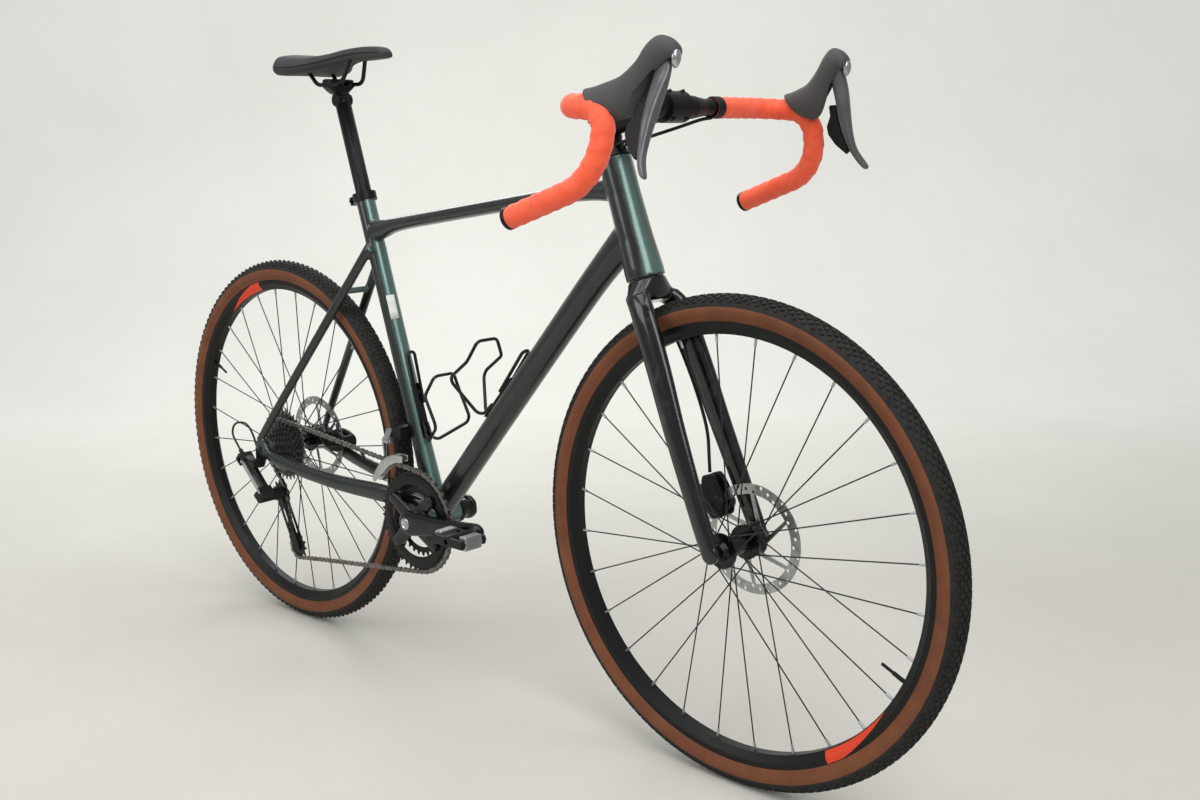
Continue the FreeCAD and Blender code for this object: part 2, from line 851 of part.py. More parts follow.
def seat_clamp():
    low = seat_tube_length - clamp_height
    outer = seat_tube_radius + seat_gap + clamp_wall
    ring = sleeve(seat_point(low), seat_point(seat_tube_length), outer, seat_tube_radius + seat_gap)
    ear = box(V(-outer - clamp_ear_length, -clamp_ear_half_width, 0), V(-seat_tube_radius - clamp_wall / 2,
              clamp_ear_half_width, clamp_height))
    ear.Placement = FreeCAD.Placement(seat_point(low), FreeCAD.Rotation(UP, seat_direction))
    middle = seat_point(low + clamp_height / 2, -outer - clamp_ear_length / 2)
    half = LEFT * (clamp_ear_half_width + clamp_bolt_radius)
    hole = rod(middle - half, middle + half, clamp_bolt_radius + seat_gap)
    return group([ring.fuse(ear).cut(hole), rod(middle - half, middle + half, clamp_bolt_radius)])


def rear_axle_pin():
    reach = LEFT * (dropout_half_gap + dropout_thickness + seat_gap)
    shaft = rod(rear_axle - reach, rear_axle + reach, axle_radius)
    head = rod(rear_axle + reach, rear_axle + reach + LEFT * axle_head_length, axle_head_radius)
    return shaft.fuse(head)


def front_axle_pin():
    reach = LEFT * (fork_half_gap + fork_tip_thickness + seat_gap)
    shaft = rod(front_axle - reach, front_axle + reach, axle_radius)
    head = rod(front_axle + reach, front_axle + reach + LEFT * axle_head_length, axle_head_radius)
    return shaft.fuse(head)


# Seatpost and saddle
post_top = seat_point(seat_tube_length + seatpost_length - seatpost_inserted)
rail_height = post_top.z + rail_rise
saddle_top_height = rail_height + saddle_rise
rail_middle = V(post_top.x - saddle_setback, 0, rail_height)


def seatpost():
    foot = seat_point(seat_tube_length - seatpost_inserted)
    post = rod(foot, post_top, seatpost_radius)
    half = LEFT * post_head_half_width
    head = rod(post_top - half, post_top + half, post_head_radius)
    low = rail_middle - V(rail_clamp_half_length, rail_clamp_half_width, rail_radius + rail_cradle_depth)
    high = rail_middle + V(rail_clamp_half_length, rail_clamp_half_width, rail_radius + rail_clamp_plate)
    cradle = box(low, V(high.x, high.y, rail_middle.z))
    cap = box(V(low.x, low.y, rail_middle.z + seat_gap), high)
    bolts = []
    body = post.fuse(head)
    for way in SIDES:
        axis = V(way * saddle_bolt_spread_share * rail_clamp_half_length, 0, 0)
        bolt = rod(V(low.x, 0, low.z) + axis + AHEAD * rail_clamp_half_length,
                   V(low.x, 0, high.z) + axis + AHEAD * rail_clamp_half_length + UP * saddle_bolt_radius,
                   saddle_bolt_radius)
        bolts.append(bolt)
    holes = []
    for bolt in bolts:
        place = bolt.BoundBox.Center.x
        holes.append(rod(V(place, 0, low.z - overrun), V(place, 0, high.z + overrun),
                         saddle_bolt_radius + seat_gap))
    rails = [rail(side, rail_radius + seat_gap) for side in SIDES]
    for room in holes + rails:
        cradle = cradle.cut(room)
        cap = cap.cut(room)
    bore = rod(foot, post_top - seat_direction * (post_head_radius + seatpost_radius), seatpost_bore_radius)
    body = body.cut(cradle).cut(bore)
    for bolt in bolts:
        body = body.cut(bolt)
    for room in rails:
        body = body.cut(room)
    return group([body, cradle, cap] + bolts)


def rail(side, radius):
    points = []
    for along, spread, lift in rail_route_shares:
        points.append(V(saddle_tail + along * saddle_length, side * spread * rail_spread,
                        rail_height + lift * rail_lift))
    return bent_rod(points, [rail_bend] * (len(points) - 2), radius)


def saddle_rails():
    return group([rail(side, rail_radius) for side in SIDES])


def saddle_section(along, width, rise, depth):
    """Crowned section with drawn-in sides and a flat underside."""
    half = width * saddle_half_width
    crown = saddle_crown_share * half
    height = depth * saddle_depth
    top = saddle_top_height + rise * saddle_depth
    shoulder = top - crown * saddle_shoulder_share
    base = top - height
    place = saddle_tail + along * saddle_length
    waist = half * saddle_waist_share
    left_shoulder = V(place, half * saddle_waist_share, shoulder)
    right_shoulder = V(place, -half * saddle_waist_share, shoulder)
    left_base = V(place, waist * saddle_waist_share, base)
    right_base = V(place, -waist * saddle_waist_share, base)
    middle = (shoulder + base) / 2
    return Part.Wire([
        Part.LineSegment(right_base, left_base).toShape(),
        Part.Arc(left_base, V(place, half, middle), left_shoulder).toShape(),
        Part.Arc(left_shoulder, V(place, 0, top), right_shoulder).toShape(),
        Part.Arc(right_shoulder, V(place, -half, middle), right_base).toShape(),
    ])


def saddle():
    body = loft([saddle_section(*shares) for shares in saddle_shares])
    for side in SIDES:
        body = body.cut(rail(side, rail_radius + seat_gap))
    return body


# Fork, headset cover, stem and bar
def fork_leg(side):
    sections = []
    for along, ahead, spread, depth, width in fork_leg_shares:
        centre = steer_point(along * fork_length, ahead * fork_offset, side * spread * fork_tip_side)
        sections.append(oval(centre, steer_ahead * (depth * fork_leg_half_depth),
                             LEFT * (width * fork_leg_half_width)))
    tip_in = front_axle + LEFT * (side * fork_half_gap)
    tip_out = front_axle + LEFT * (side * (fork_half_gap + fork_tip_thickness))
    return loft(sections).fuse(rod(tip_in, tip_out, fork_tip_radius))


def fork_eyelet(side):
    """Threaded hole in the outer face of a fork leg."""
    outer = fork_tip_side + fork_leg_half_width
    inner = fork_tip_side - fork_eyelet_depth / 2
    ahead = fork_eyelet_ahead_share * fork_offset
    return rod(steer_point(fork_eyelet_along, ahead, side * inner),
               steer_point(fork_eyelet_along, ahead, side * outer), eyelet_radius)


def fork():
    crown = []
    for drop, depth, width in crown_shares:
        crown.append(oval(steer_point(fork_length - drop * crown_depth),
                          steer_ahead * (depth * crown_race_radius), LEFT * (width * crown_race_radius)))
    body = loft(crown)
    for side in SIDES:
        body = body.fuse(fork_leg(side))
    top = stem_bottom + stem_clamp_height - fork_length
    taper_end = steerer_base_length + steerer_taper_length
    outline = [(-crown_gap, 0), (-crown_gap, steerer_base_radius), (steerer_base_length, steerer_base_radius),
               (taper_end, steerer_radius), (top, steerer_radius), (top, 0)]
    body = body.fuse(turned(outline, steer_point(fork_length), steer_direction))
    bore = rod(steer_point(fork_length - crown_depth / 2), steer_point(fork_length + top + overrun),
               steerer_bore_radius)
    reach = LEFT * (fork_half_gap + fork_tip_thickness + overrun)
    axle_hole = rod(front_axle - reach, front_axle + reach, axle_radius + running_gap)
    inside = LEFT * fork_half_gap
    hub_room = rod(front_axle - inside, front_axle + inside, fork_tip_radius + overrun)
    body = body.cut(bore).cut(axle_hole).cut(hub_room)
    for side in SIDES:
        face = front_axle + LEFT * (side * (fork_half_gap + fork_tip_thickness))
        head_room = rod(face, face + LEFT * (side * overrun), axle_head_radius + body_gap)
        body = body.cut(fork_eyelet(side)).cut(head_room)
    return body


def headset_cover():
    low = steer_point(head_top + body_gap)
    bore = steerer_radius + seat_gap
    outline = [(0, bore), (0, cover_radius), (cover_height, cover_top_radius), (cover_height, bore)]
    cover = turned(outline, low, steer_direction)
    spacer_low = steer_point(stem_bottom - spacer_height)
    return group([cover, sleeve(spacer_low, steer_point(stem_bottom), cover_top_radius, bore)])


def stem():
    low = steer_point(stem_bottom)
    high = steer_point(stem_bottom + stem_clamp_height)
    start = steer_point(stem_centre)
    run = bar_centre - start
    across = run.cross(LEFT).normalize()
    sections = []
    for share in (0, 1):
        sections.append(oval(start + run * share, across * stem_half_height, LEFT * stem_half_width))
    half = LEFT * bar_clamp_half_width
    body = rod(low, high, stem_clamp_radius).fuse(loft(sections))
    body = body.fuse(rod(bar_centre - half, bar_centre + half, bar_clamp_radius))
    past = steer_direction * overrun
    body = body.cut(rod(low - past, high + past, steerer_radius + seat_gap))
    reach = LEFT * (bar_clamp_half_width + overrun)
    body = body.cut(rod(bar_centre - reach, bar_centre + reach, bar_clamp_bar_radius + seat_gap))
    along = V(run).normalize()
    bolts = []
    for way in SIDES:
        for side in SIDES:
            seat = bar_centre + across * (way * face_bolt_offset) + LEFT * (side * stem_bolt_spread)
            bolts.append(rod(seat, seat + along * stem_bolt_length, stem_bolt_radius))
        back = steer_ahead * (steerer_radius + stem_bolt_radius + seat_gap * 2)
        seat = start - back + steer_direction * (way * stem_bolt_spread)
        bolts.append(rod(seat - LEFT * stem_bolt_length, seat + LEFT * stem_bolt_length, stem_bolt_radius))
    for bolt in bolts:
        body = body.cut(bolt)
    cap = rod(high, high + steer_direction * top_cap_height, stem_clamp_radius)
    return group([body, cap] + bolts)


def bar_plane_point(ahead, drop, side):
    """Point of the flared drop, measured ahead of and below the bar's corner."""
    flare = math.radians(bar_flare)
    out = bar_half_width + drop * math.sin(flare)
    return bar_centre + V(ahead, side * out, -drop * math.cos(flare))


def bar_points(side, start_side):
    return [
        bar_centre + LEFT * (side * start_side),
        bar_plane_point(0, 0, side),
        bar_plane_point(bar_reach, bar_ramp_drop, side),
        bar_plane_point(bar_reach - bar_hook_set_back, bar_hook_drop, side),
        bar_plane_point(-bar_end_set_back, bar_drop, side),
    ]


bar_bends = (bar_corner_bend, bar_front_bend, bar_hook_bend)


def handlebar():
    centre_end = bar_sleeve_half_length + bar_taper_length
    outline = [(-centre_end, 0), (-centre_end, bar_radius), (-bar_sleeve_half_length, bar_clamp_bar_radius),
               (bar_sleeve_half_length, bar_clamp_bar_radius), (centre_end, bar_radius), (centre_end, 0)]
    body = turned(outline, bar_centre, LEFT)
    plugs = []
    for side in SIDES:
        points = bar_points(side, 0)
        body = body.fuse(bent_rod(points, bar_bends, bar_radius))
    for side in SIDES:
        points = bar_points(side, 0)
        body = body.cut(bent_rod(points, bar_bends, bar_radius - bar_wall))
        back = (points[-1] - points[-2]).normalize()
        stub = rod(points[-1] - back * plug_depth, points[-1] + back * seat_gap,
                   bar_radius - bar_wall - seat_gap)
        head = rod(points[-1] + back * seat_gap, points[-1] + back * plug_length, bar_radius + tape_thickness)
        plugs.append(stub.fuse(head))
    return group([body] + plugs)


def tape(side):
    points = bar_points(side, tape_start_side)
    sleeve_body = bent_tube(points, bar_bends, bar_radius + tape_thickness, bar_radius + seat_gap)
    return sleeve_body.cut(hood_filled(side))


def bar_tape():
    return group([tape(side) for side in SIDES])


def hood_filled(side):
    sections = []
    start = bar_centre + V(hood_start_ahead, side * bar_half_width, 0)
    for along, rise, inset, width, height in hood_shares:
        centre = start + V(along * hood_length, -side * inset * hood_inset, rise * hood_rise)
        sections.append(oval(centre, UP * (height * hood_half_height), LEFT * (width * hood_half_width)))
    return loft(sections)


def lever_pin(side):
    return bar_centre + V(lever_pin_ahead, side * lever_pin_side, lever_pin_rise)


def lever_down(side):
    slant = math.radians(lever_slant)
    return V(0, side * math.sin(slant), -math.cos(slant))


def lever_out(side):
    slant = math.radians(lever_slant)
    return V(0, side * math.cos(slant), math.sin(slant))


def lever_hood(side):
    pin = lever_pin(side)
    out = lever_out(side)
    down = lever_down(side)
    half = lever_half_width + body_gap
    corner = pin - AHEAD * hood_slot_back - down * hood_slot_top - out * half
    reach = AHEAD * hood_length
    foot = corner + down * hood_length
    foot_back = foot - AHEAD * (hood_length * math.tan(math.radians(hood_slot_slant)))
    slot = prism([corner, corner + reach, foot + reach, foot_back], out * (half + half))
    body = hood_filled(side).cut(slot)
    body = body.cut(bent_rod(bar_points(side, tape_start_side), bar_bends, bar_radius + seat_gap))
    shaft_half = out * (hood_half_width - lever_edge)
    return body.fuse(rod(pin - shaft_half, pin + shaft_half, lever_pin_radius))


def lever_hoods():
    return group([lever_hood(side) for side in SIDES])


def paddle_pin(side):
    return lever_pin(side) + lever_down(side) * paddle_pin_drop - AHEAD * paddle_pin_back


def brake_lever(side):
    pin = lever_pin(side)
    out = lever_out(side)
    down = lever_down(side)
    base = pin - out * lever_half_width
    points = [base + down * (drop * lever_length) + AHEAD * (ahead * lever_bulge)
              for drop, ahead in lever_outline_shares]
    blade = prism(points, out * (lever_half_width + lever_half_width))
    hole = rod(pin - out * hood_half_width, pin + out * hood_half_width, lever_pin_radius + running_gap)
    stub_end = paddle_pin(side) - AHEAD * paddle_eye_length
    stub = rod(paddle_pin(side) + AHEAD * paddle_pin_root, stub_end, paddle_pin_radius)
    return blade.fuse(stub).cut(hole)


def shift_paddle(side):
    pin = paddle_pin(side)
    out = lever_out(side)
    base = pin - out * paddle_half_width
    points = [base + lever_down(side) * (drop * paddle_length) + AHEAD * (ahead * paddle_depth)
              for drop, ahead in paddle_outline_shares]
    plate = prism(points, out * (paddle_half_width + paddle_half_width))
    eye_end = pin - AHEAD * paddle_eye_length
    eye = rod(pin, eye_end, paddle_eye_radius)
    hole = rod(pin + AHEAD * overrun, eye_end - AHEAD * paddle_depth, paddle_pin_radius + running_gap)
    return plate.fuse(eye).cut(hole)


# Wheels
def rim(axle, valve_angle, wheel_spokes):
    inside = rim_half_width - rim_flange
    outer = [(-rim_half_width, rim_outer_radius), (-inside, rim_outer_radius), (-inside, rim_bed_radius),
             (inside, rim_bed_radius), (inside, rim_outer_radius), (rim_half_width, rim_outer_radius),
             (rim_half_width, rim_bed_radius - rim_flange), (rim_nose_half_width, rim_inner_radius),
             (-rim_nose_half_width, rim_inner_radius), (-rim_half_width, rim_bed_radius - rim_flange)]
    hollow = [(-inside, rim_bed_radius - rim_flange), (inside, rim_bed_radius - rim_flange),
              (rim_nose_half_width - rim_wall, rim_inner_radius + rim_wall),
              (rim_wall - rim_nose_half_width, rim_inner_radius + rim_wall)]
    body = turned(outer, axle, LEFT).cut(turned(hollow, axle, LEFT)).cut(wheel_spokes)
    way = turn_vector(valve_angle)
    seat = axle + way * (rim_inner_radius - seat_gap)
    neck = axle + way * (rim_inner_radius - valve_length / 2)
    stem_part = rod(neck, seat, valve_radius)
    cap = rod(axle + way * (rim_inner_radius - valve_length), neck, valve_cap_radius)
    return group([body, stem_part.fuse(cap)])


def tyre(axle):
    middle = tyre_radius - tyre_half_width
    bead = rim_half_width - rim_flange - tyre_bead_gap
    foot = rim_bed_radius + tyre_bead_gap
    inner = tyre_half_width - tyre_thickness
    inner_top = tyre_radius - tyre_tread_thickness
    toe = bead - tyre_thickness
    neck = rim_outer_radius + tyre_bead_gap

    def at(side_place, radius):
        return V(radius, 0, side_place)

    lean = math.asin((middle - neck) / tyre_half_width)
    low_side = tyre_half_width * math.cos(lean)
    edges = [
        Part.LineSegment(at(-toe, foot), at(-bead, foot)).toShape(),
        Part.LineSegment(at(-bead, foot), at(-bead, neck)).toShape(),
        Part.LineSegment(at(-bead, neck), at(-low_side, neck)).toShape(),
        Part.Arc(at(-low_side, neck), at(-tyre_half_width, middle), at(0, tyre_radius)).toShape(),
        Part.Arc(at(0, tyre_radius), at(tyre_half_width, middle), at(low_side, neck)).toShape(),
        Part.LineSegment(at(low_side, neck), at(bead, neck)).toShape(),
        Part.LineSegment(at(bead, neck), at(bead, foot)).toShape(),
        Part.LineSegment(at(bead, foot), at(toe, foot)).toShape(),
        Part.LineSegment(at(toe, foot), at(toe, neck)).toShape(),
        Part.Arc(at(toe, neck), at(inner, middle), at(0, inner_top)).toShape(),
        Part.Arc(at(0, inner_top), at(-inner, middle), at(-toe, neck)).toShape(),
        Part.LineSegment(at(-toe, neck), at(-toe, foot)).toShape(),
    ]
    return placed(Part.Face(Part.Wire(edges)).revolve(ORIGIN, UP, 360), axle, LEFT)


def spokes(axle, left_flange, right_flange):
    per_side = spoke_count // 2
    step = 360.0 / per_side
    lift = flange_half_thickness + spoke_radius + spoke_flange_gap
    reach = rim_inner_radius + nipple_sink
    solids = []
    for side, flange in ((1, left_flange), (-1, -right_flange)):
        for index in range(per_side):
            way = 1 if index % 2 else -1
            rim_angle = (index + side * spoke_side_share) * step
            hub_angle = rim_angle + way * spoke_cross_pitches * step
            head = axle + turn_vector(hub_angle) * flange_hole_radius + LEFT * (flange + way * lift)
            seat = axle + turn_vector(rim_angle) * reach
            run = (seat - head).normalize()
            joint = seat - run * nipple_length
            solids.append(rod(head, joint, spoke_radius).fuse(rod(joint, seat, nipple_radius)))
    return group(solids)


def hub(axle, left_end, right_end, left_flange, right_flange, rotor_side, wheel_spokes):
    bore = axle_radius + running_gap
    thick = flange_half_thickness
    boss_end = rotor_side + rotor_half_thickness
    boss_start = boss_end - hub_cap_length
    outline = [(-right_end, bore), (-right_end, hub_cap_radius)]
    if right_end > right_flange + hub_cap_length:
        outline += [(-right_flange - hub_cap_length, hub_cap_radius)]
    outline += [
        (-right_flange - thick, hub_body_radius), (-right_flange - thick, flange_radius),
        (-right_flange + thick, flange_radius), (-right_flange + thick, hub_body_radius),
        (left_flange - thick, hub_body_radius), (left_flange - thick, flange_radius),
        (left_flange + thick, flange_radius), (left_flange + thick, hub_body_radius),
        (boss_start, hub_body_radius), (boss_start, rotor_boss_radius), (boss_end, rotor_boss_radius),
        (boss_end, hub_cap_radius), (left_end, hub_cap_radius), (left_end, bore),
    ]
    body = turned(outline, axle, LEFT)
    for flange in (left_flange, -right_flange):
        body = body.cut(flange_holes(axle, flange))
    return body.cut(wheel_spokes)


def flange_holes(axle, flange):
    """Spoke holes between the spokes' places, drilled through one flange."""
    per_side = spoke_count // 2
    holes = []
    for index in range(per_side):
        centre = axle + turn_vector((index + spoke_hole_share) * 360.0 / per_side) * flange_hole_radius
        through = LEFT * (flange_half_thickness + spoke_radius)
        holes.append(rod(centre + LEFT * flange - through, centre + LEFT * flange + through, spoke_radius))
    return group(holes)


def rotor(axle, side_place):
    half = LEFT * rotor_half_thickness
    centre = axle + LEFT * side_place
    band = sleeve(centre - half, centre + half, rotor_radius, rotor_radius - rotor_band)
    holes = []
    middle = rotor_radius - rotor_band / 2
    for index in range(rotor_hole_count):
        offset = (index % rotor_hole_rows - 1) * rotor_band * rotor_hole_spread_share
        place = centre + turn_vector(index * 360.0 / rotor_hole_count) * (middle + offset)
        holes.append(rod(place - half * 2, place + half * 2, rotor_hole_radius))
    body = band.cut(group(holes))
    hub_ring = sleeve(centre - half, centre + half, rotor_hub_radius, rotor_boss_radius + seat_gap)
    body = body.fuse(hub_ring)
    for index in range(rotor_arm_count):
        angle = index * 360.0 / rotor_arm_count
        start = centre + turn_vector(angle) * (rotor_hub_radius - rotor_arm_width / 2)
        tip = rotor_arm_width * rotor_arm_tip_share
        end = centre + turn_vector(angle + rotor_arm_sweep) * (rotor_radius - rotor_band + tip)
        arm = hull_plate(start - half, rotor_arm_width / 2, end - half, tip, half * 2)
        body = body.fuse(arm)
    for hole in holes:
        body = body.cut(hole)
    bore = rod(centre - half * 2, centre + half * 2, rotor_boss_radius + seat_gap)
    lock = sleeve(centre + half, centre + half + LEFT * rotor_lock_length, rotor_lock_radius,
                  hub_cap_radius + seat_gap)
    return group([body.cut(bore).removeSplitter(), lock])


# Brake calipers and pads
def rotor_slot(axle, side_place):
    half = LEFT * caliper_slot_half
    centre = axle + LEFT * side_place
    return rod(centre - half, centre + half, rotor_radius + caliper_slot_clear)


def pad(centre, side, ahead, upward, grow):
    """Brake pad on one side of a rotor, or the room for it when grown."""
    near = rotor_half_thickness + pad_rest_gap
    start = centre + LEFT * (side * (near if grow == 0 else 0))
    length = pad_thickness + (near + grow if grow else 0)
    long_half = ahead * (pad_half_length + grow)
    high_half = upward * (pad_half_height + grow)
    corners = [start - long_half - high_half, start + long_half - high_half,
               start + long_half + high_half, start - long_half + high_half]
    return prism(corners, LEFT * (side * length))


rear_pad_centre = rear_axle + V(rear_pad_ahead, rear_rotor_side, rear_pad_rise)
front_pad_centre = steer_point(front_pad_along, fork_offset - front_pad_back, front_rotor_side)


def rear_pad(side):
    return pad(rear_pad_centre, side, AHEAD, UP, 0)


def front_pad(side):
    return pad(front_pad_centre, side, steer_ahead, steer_direction, 0)


def rear_caliper():
    centre = rear_axle + LEFT * rear_rotor_side
    low = centre + V(rear_caliper_start, -caliper_half_width, -rear_caliper_below)
    high = centre + V(rear_caliper_start + rear_caliper_length, caliper_half_width, rear_caliper_above)
    body = box(low, high)
    body = body.makeFillet(caliper_edge, body.Edges)
    body = body.cut(rotor_slot(rear_axle, rear_rotor_side)).cut(chainstay(1))
    for side in SIDES:
        body = body.cut(pad(rear_pad_centre, side, AHEAD, UP, pad_clear))
    bolts = []
    for share in caliper_bolt_shares:
        foot = V(low.x + share * rear_caliper_length, high.y - caliper_bolt_head_radius, high.z)
        bolts.append(rod(foot, foot + UP * caliper_bolt_head, caliper_bolt_head_radius))
    return group(largest_first(body) + bolts)


def front_caliper():
    low_along = front_caliper_low
    corner = steer_point(low_along, fork_offset - front_caliper_back,
                         front_rotor_side - front_caliper_half_width)
    tall = steer_direction * (front_caliper_high - front_caliper_low)
    deep = steer_ahead * front_caliper_depth
    body = prism([corner, corner + deep, corner + deep + tall, corner + tall],
                 LEFT * (front_caliper_half_width + front_caliper_half_width))
    body = body.makeFillet(caliper_edge, body.Edges)
    body = body.cut(rotor_slot(front_axle, front_rotor_side)).cut(fork_leg(1))
    for side in SIDES:
        body = body.cut(pad(front_pad_centre, side, steer_ahead, steer_direction, pad_clear))
    bolts = []
    for share in caliper_bolt_shares:
        foot = corner + tall * share + LEFT * (front_caliper_half_width * 2 - caliper_bolt_head_radius)
        bolts.append(rod(foot, foot - steer_ahead * caliper_bolt_head, caliper_bolt_head_radius))
    return group(largest_first(body) + bolts)


def largest_first(shape):
    """The largest solid of a cut piece, as a list of one."""
    return sorted(shape.Solids, key=lambda solid: -solid.Volume)[:1]


# Drive: pitch circles, the chain's way round them and the places of its rollers
def pitch_radius(teeth):
    return chain_pitch / 2 / math.sin(math.pi / teeth)


gear_teeth = cassette_teeth[cassette_gear]


def sprocket_side(index):
    return -(cassette_outer_side - index * cassette_pitch)


gear_side = sprocket_side(cassette_gear)
back_pin = rear_axle + V(rd_back_pin_ahead, 0, rd_back_pin_rise)
front_pin = rear_axle + V(rd_front_pin_ahead, 0, rd_front_pin_rise)
rd_along = (front_pin - back_pin).normalize()
rd_across = LEFT.cross(rd_along).normalize()
cage_pivot = front_pin + rd_along * rd_cage_offset_along + rd_across * rd_cage_offset_across


def about_cage_pivot(ahead, rise, angle):
    """Place on the derailleur cage turned about its pivot."""
    turn = math.radians(angle)
    return cage_pivot + V(ahead * math.cos(turn) - rise * math.sin(turn), 0,
                          ahead * math.sin(turn) + rise * math.cos(turn))


def chain_loop(cage_angle):
    """Wheels that the chain goes round, in order, each with its middle, teeth, way and side."""
    guide = about_cage_pivot(rd_guide_ahead, rd_guide_rise, cage_angle)
    tension = about_cage_pivot(rd_tension_ahead, rd_tension_rise, cage_angle)
    return [
        (rear_axle, gear_teeth, 1, gear_side),
        (bottom_bracket, chainring_teeth[0], 1, -chainring_sides[0]),
        (tension, pulley_teeth, 1, gear_side),
        (guide, pulley_teeth, -1, gear_side),
    ]


def chain_runs(loop):
    """Heading of the straight run that leaves each wheel, in radians."""
    headings = []
    for (centre, teeth, way, _), (after, next_teeth, next_way, _) in zip(loop, loop[1:] + loop[:1]):
        gap = after - centre
        change = next_way * pitch_radius(next_teeth) - way * pitch_radius(teeth)
        headings.append(math.atan2(gap.z, gap.x) + math.asin(change / gap.Length))
    return headings


def contact(wheel, heading):
    """Point where a run with this heading touches a wheel's pitch circle."""
    centre, teeth, way, side = wheel
    normal = V(-math.sin(heading), 0, math.cos(heading))
    return centre + normal * (way * pitch_radius(teeth)) + LEFT * side


def chain_spans(cage_angle):
    """Arcs and straight runs in order, each with its length counted in chain."""
    loop = chain_loop(cage_angle)
    headings = chain_runs(loop)
    spans = []
    for index, wheel in enumerate(loop):
        centre, teeth, way, side = wheel
        arrive = headings[index - 1]
        leave = headings[index]
        turn = (way * (arrive - leave)) % (2 * math.pi)
        start_angle = arrive + way * math.pi / 2
        spans.append(("arc", turn * teeth * chain_pitch / (2 * math.pi), wheel, start_angle))
        start = contact(wheel, leave)
        end = contact(loop[(index + 1) % len(loop)], leave)
        flat = V(end.x - start.x, 0, end.z - start.z).Length
        spans.append(("run", flat, start, end))
    return spans


def chain_length(cage_angle):
    return sum(span[1] for span in chain_spans(cage_angle))


def closing_cage_angle():
    """Cage angle at which the chain's links just close, found by halving the range."""
    low, high = cage_search_angles
    wanted = chain_links * chain_pitch
    rising = chain_length(high) > chain_length(low)
    for _ in range(cage_search_steps):
        middle = (low + high) / 2
        if (chain_length(middle) < wanted) == rising:
            low = middle
        else:
            high = middle
    return (low + high) / 2


def chain_point(spans, distance):
    """Place on the chain's line at a distance along it."""
    for kind, length, first, second in spans:
        if distance <= length:
            break
        distance -= length
    if kind == "run":
        share = distance / length
        ease = share * share * (3 - 2 * share)
        flat = first + (second - first) * share
        return V(flat.x, first.y + (second.y - first.y) * ease, flat.z)
    centre, teeth, way, side = first
    angle = second - way * distance * 2 * math.pi / (teeth * chain_pitch)
    return centre + V(math.cos(angle), 0, math.sin(angle)) * pitch_radius(teeth) + LEFT * side


cage_angle = closing_cage_angle()
guide_centre = about_cage_pivot(rd_guide_ahead, rd_guide_rise, cage_angle) + LEFT * gear_side
tension_centre = about_cage_pivot(rd_tension_ahead, rd_tension_rise, cage_angle) + LEFT * gear_side
drive_spans = chain_spans(cage_angle)
rollers = [chain_point(drive_spans, index * chain_pitch) for index in range(chain_links)]


def seat_phase(centre, teeth):
    """Angle of the roller that sits deepest on a wheel's pitch circle, in degrees."""
    def off_circle(point):
        return abs(V(point.x - centre.x, 0, point.z - centre.z).Length - pitch_radius(teeth))

    nearest = min(rollers, key=off_circle)
    return math.degrees(math.atan2(nearest.z - centre.z, nearest.x - centre.x))


def toothed_disc(centre, teeth, half_thickness, phase):
    """Flat wheel with a tooth between each pair of roller seats."""
    pitch = pitch_radius(teeth)
    root = pitch - roller_radius - tooth_root_gap
    tip = pitch + tooth_tip_rise
    step = 360.0 / teeth
    root_turn = math.degrees(tooth_root_half / root)
    tip_turn = math.degrees(tooth_tip_half / tip)
    points = []
    for index in range(teeth):
        middle = phase + (index + tooth_middle_share) * step
        for turn, radius in ((-root_turn, root), (-tip_turn, tip), (tip_turn, tip), (root_turn, root)):
            points.append(centre + turn_vector(middle + turn) * radius - LEFT * half_thickness)
    return prism(points, LEFT * (half_thickness + half_thickness))


def cassette():
    bore = freehub_radius + seat_gap
    solids = []
    for index, teeth in enumerate(cassette_teeth):
        centre = rear_axle + LEFT * sprocket_side(index)
        phase = seat_phase(rear_axle, teeth) if index == cassette_gear else 0
        half = LEFT * sprocket_half_thickness
        disc = toothed_disc(centre, teeth, sprocket_half_thickness, phase)
        solids.append(disc.cut(rod(centre - half * 2, centre + half * 2, bore)))
        if index:
            before = rear_axle + LEFT * sprocket_side(index - 1) + half
            solids.append(sleeve(before, centre - half, spacer_radius, bore))
    end = sprocket_side(0) - sprocket_half_thickness
    axle_bore = axle_radius + running_gap
    outline = [(-dropout_half_gap + body_gap, axle_bore), (-dropout_half_gap + body_gap, hub_cap_radius),
               (end - lockring_length, hub_cap_radius), (end - lockring_length, lockring_radius),
               (end, lockring_radius), (end, freehub_radius), (-freehub_inner_side, freehub_radius),
               (-freehub_inner_side, axle_bore)]
    solids.append(turned(outline, rear_axle, LEFT))
    return group(solids)


def chain_plate(half_near, half_far):
    """Waisted link plate with round ends, between two side places."""
    lean = math.radians(chain_plate_angle)
    inset = chain_plate_radius * math.cos(lean)
    rise = chain_plate_radius * math.sin(lean)
    right = chain_pitch - inset
    y = half_near
    edges = [
        Part.Arc(V(inset, y, rise), V(chain_pitch / 2, y, chain_waist), V(right, y, rise)).toShape(),
        Part.Arc(V(right, y, rise), V(chain_pitch + chain_plate_radius, y, 0), V(right, y, -rise)).toShape(),
        Part.Arc(V(right, y, -rise), V(chain_pitch / 2, y, -chain_waist), V(inset, y, -rise)).toShape(),
        Part.Arc(V(inset, y, -rise), V(-chain_plate_radius, y, 0), V(inset, y, rise)).toShape(),
    ]
    return Part.Face(Part.Wire(edges)).extrude(LEFT * (half_far - half_near))


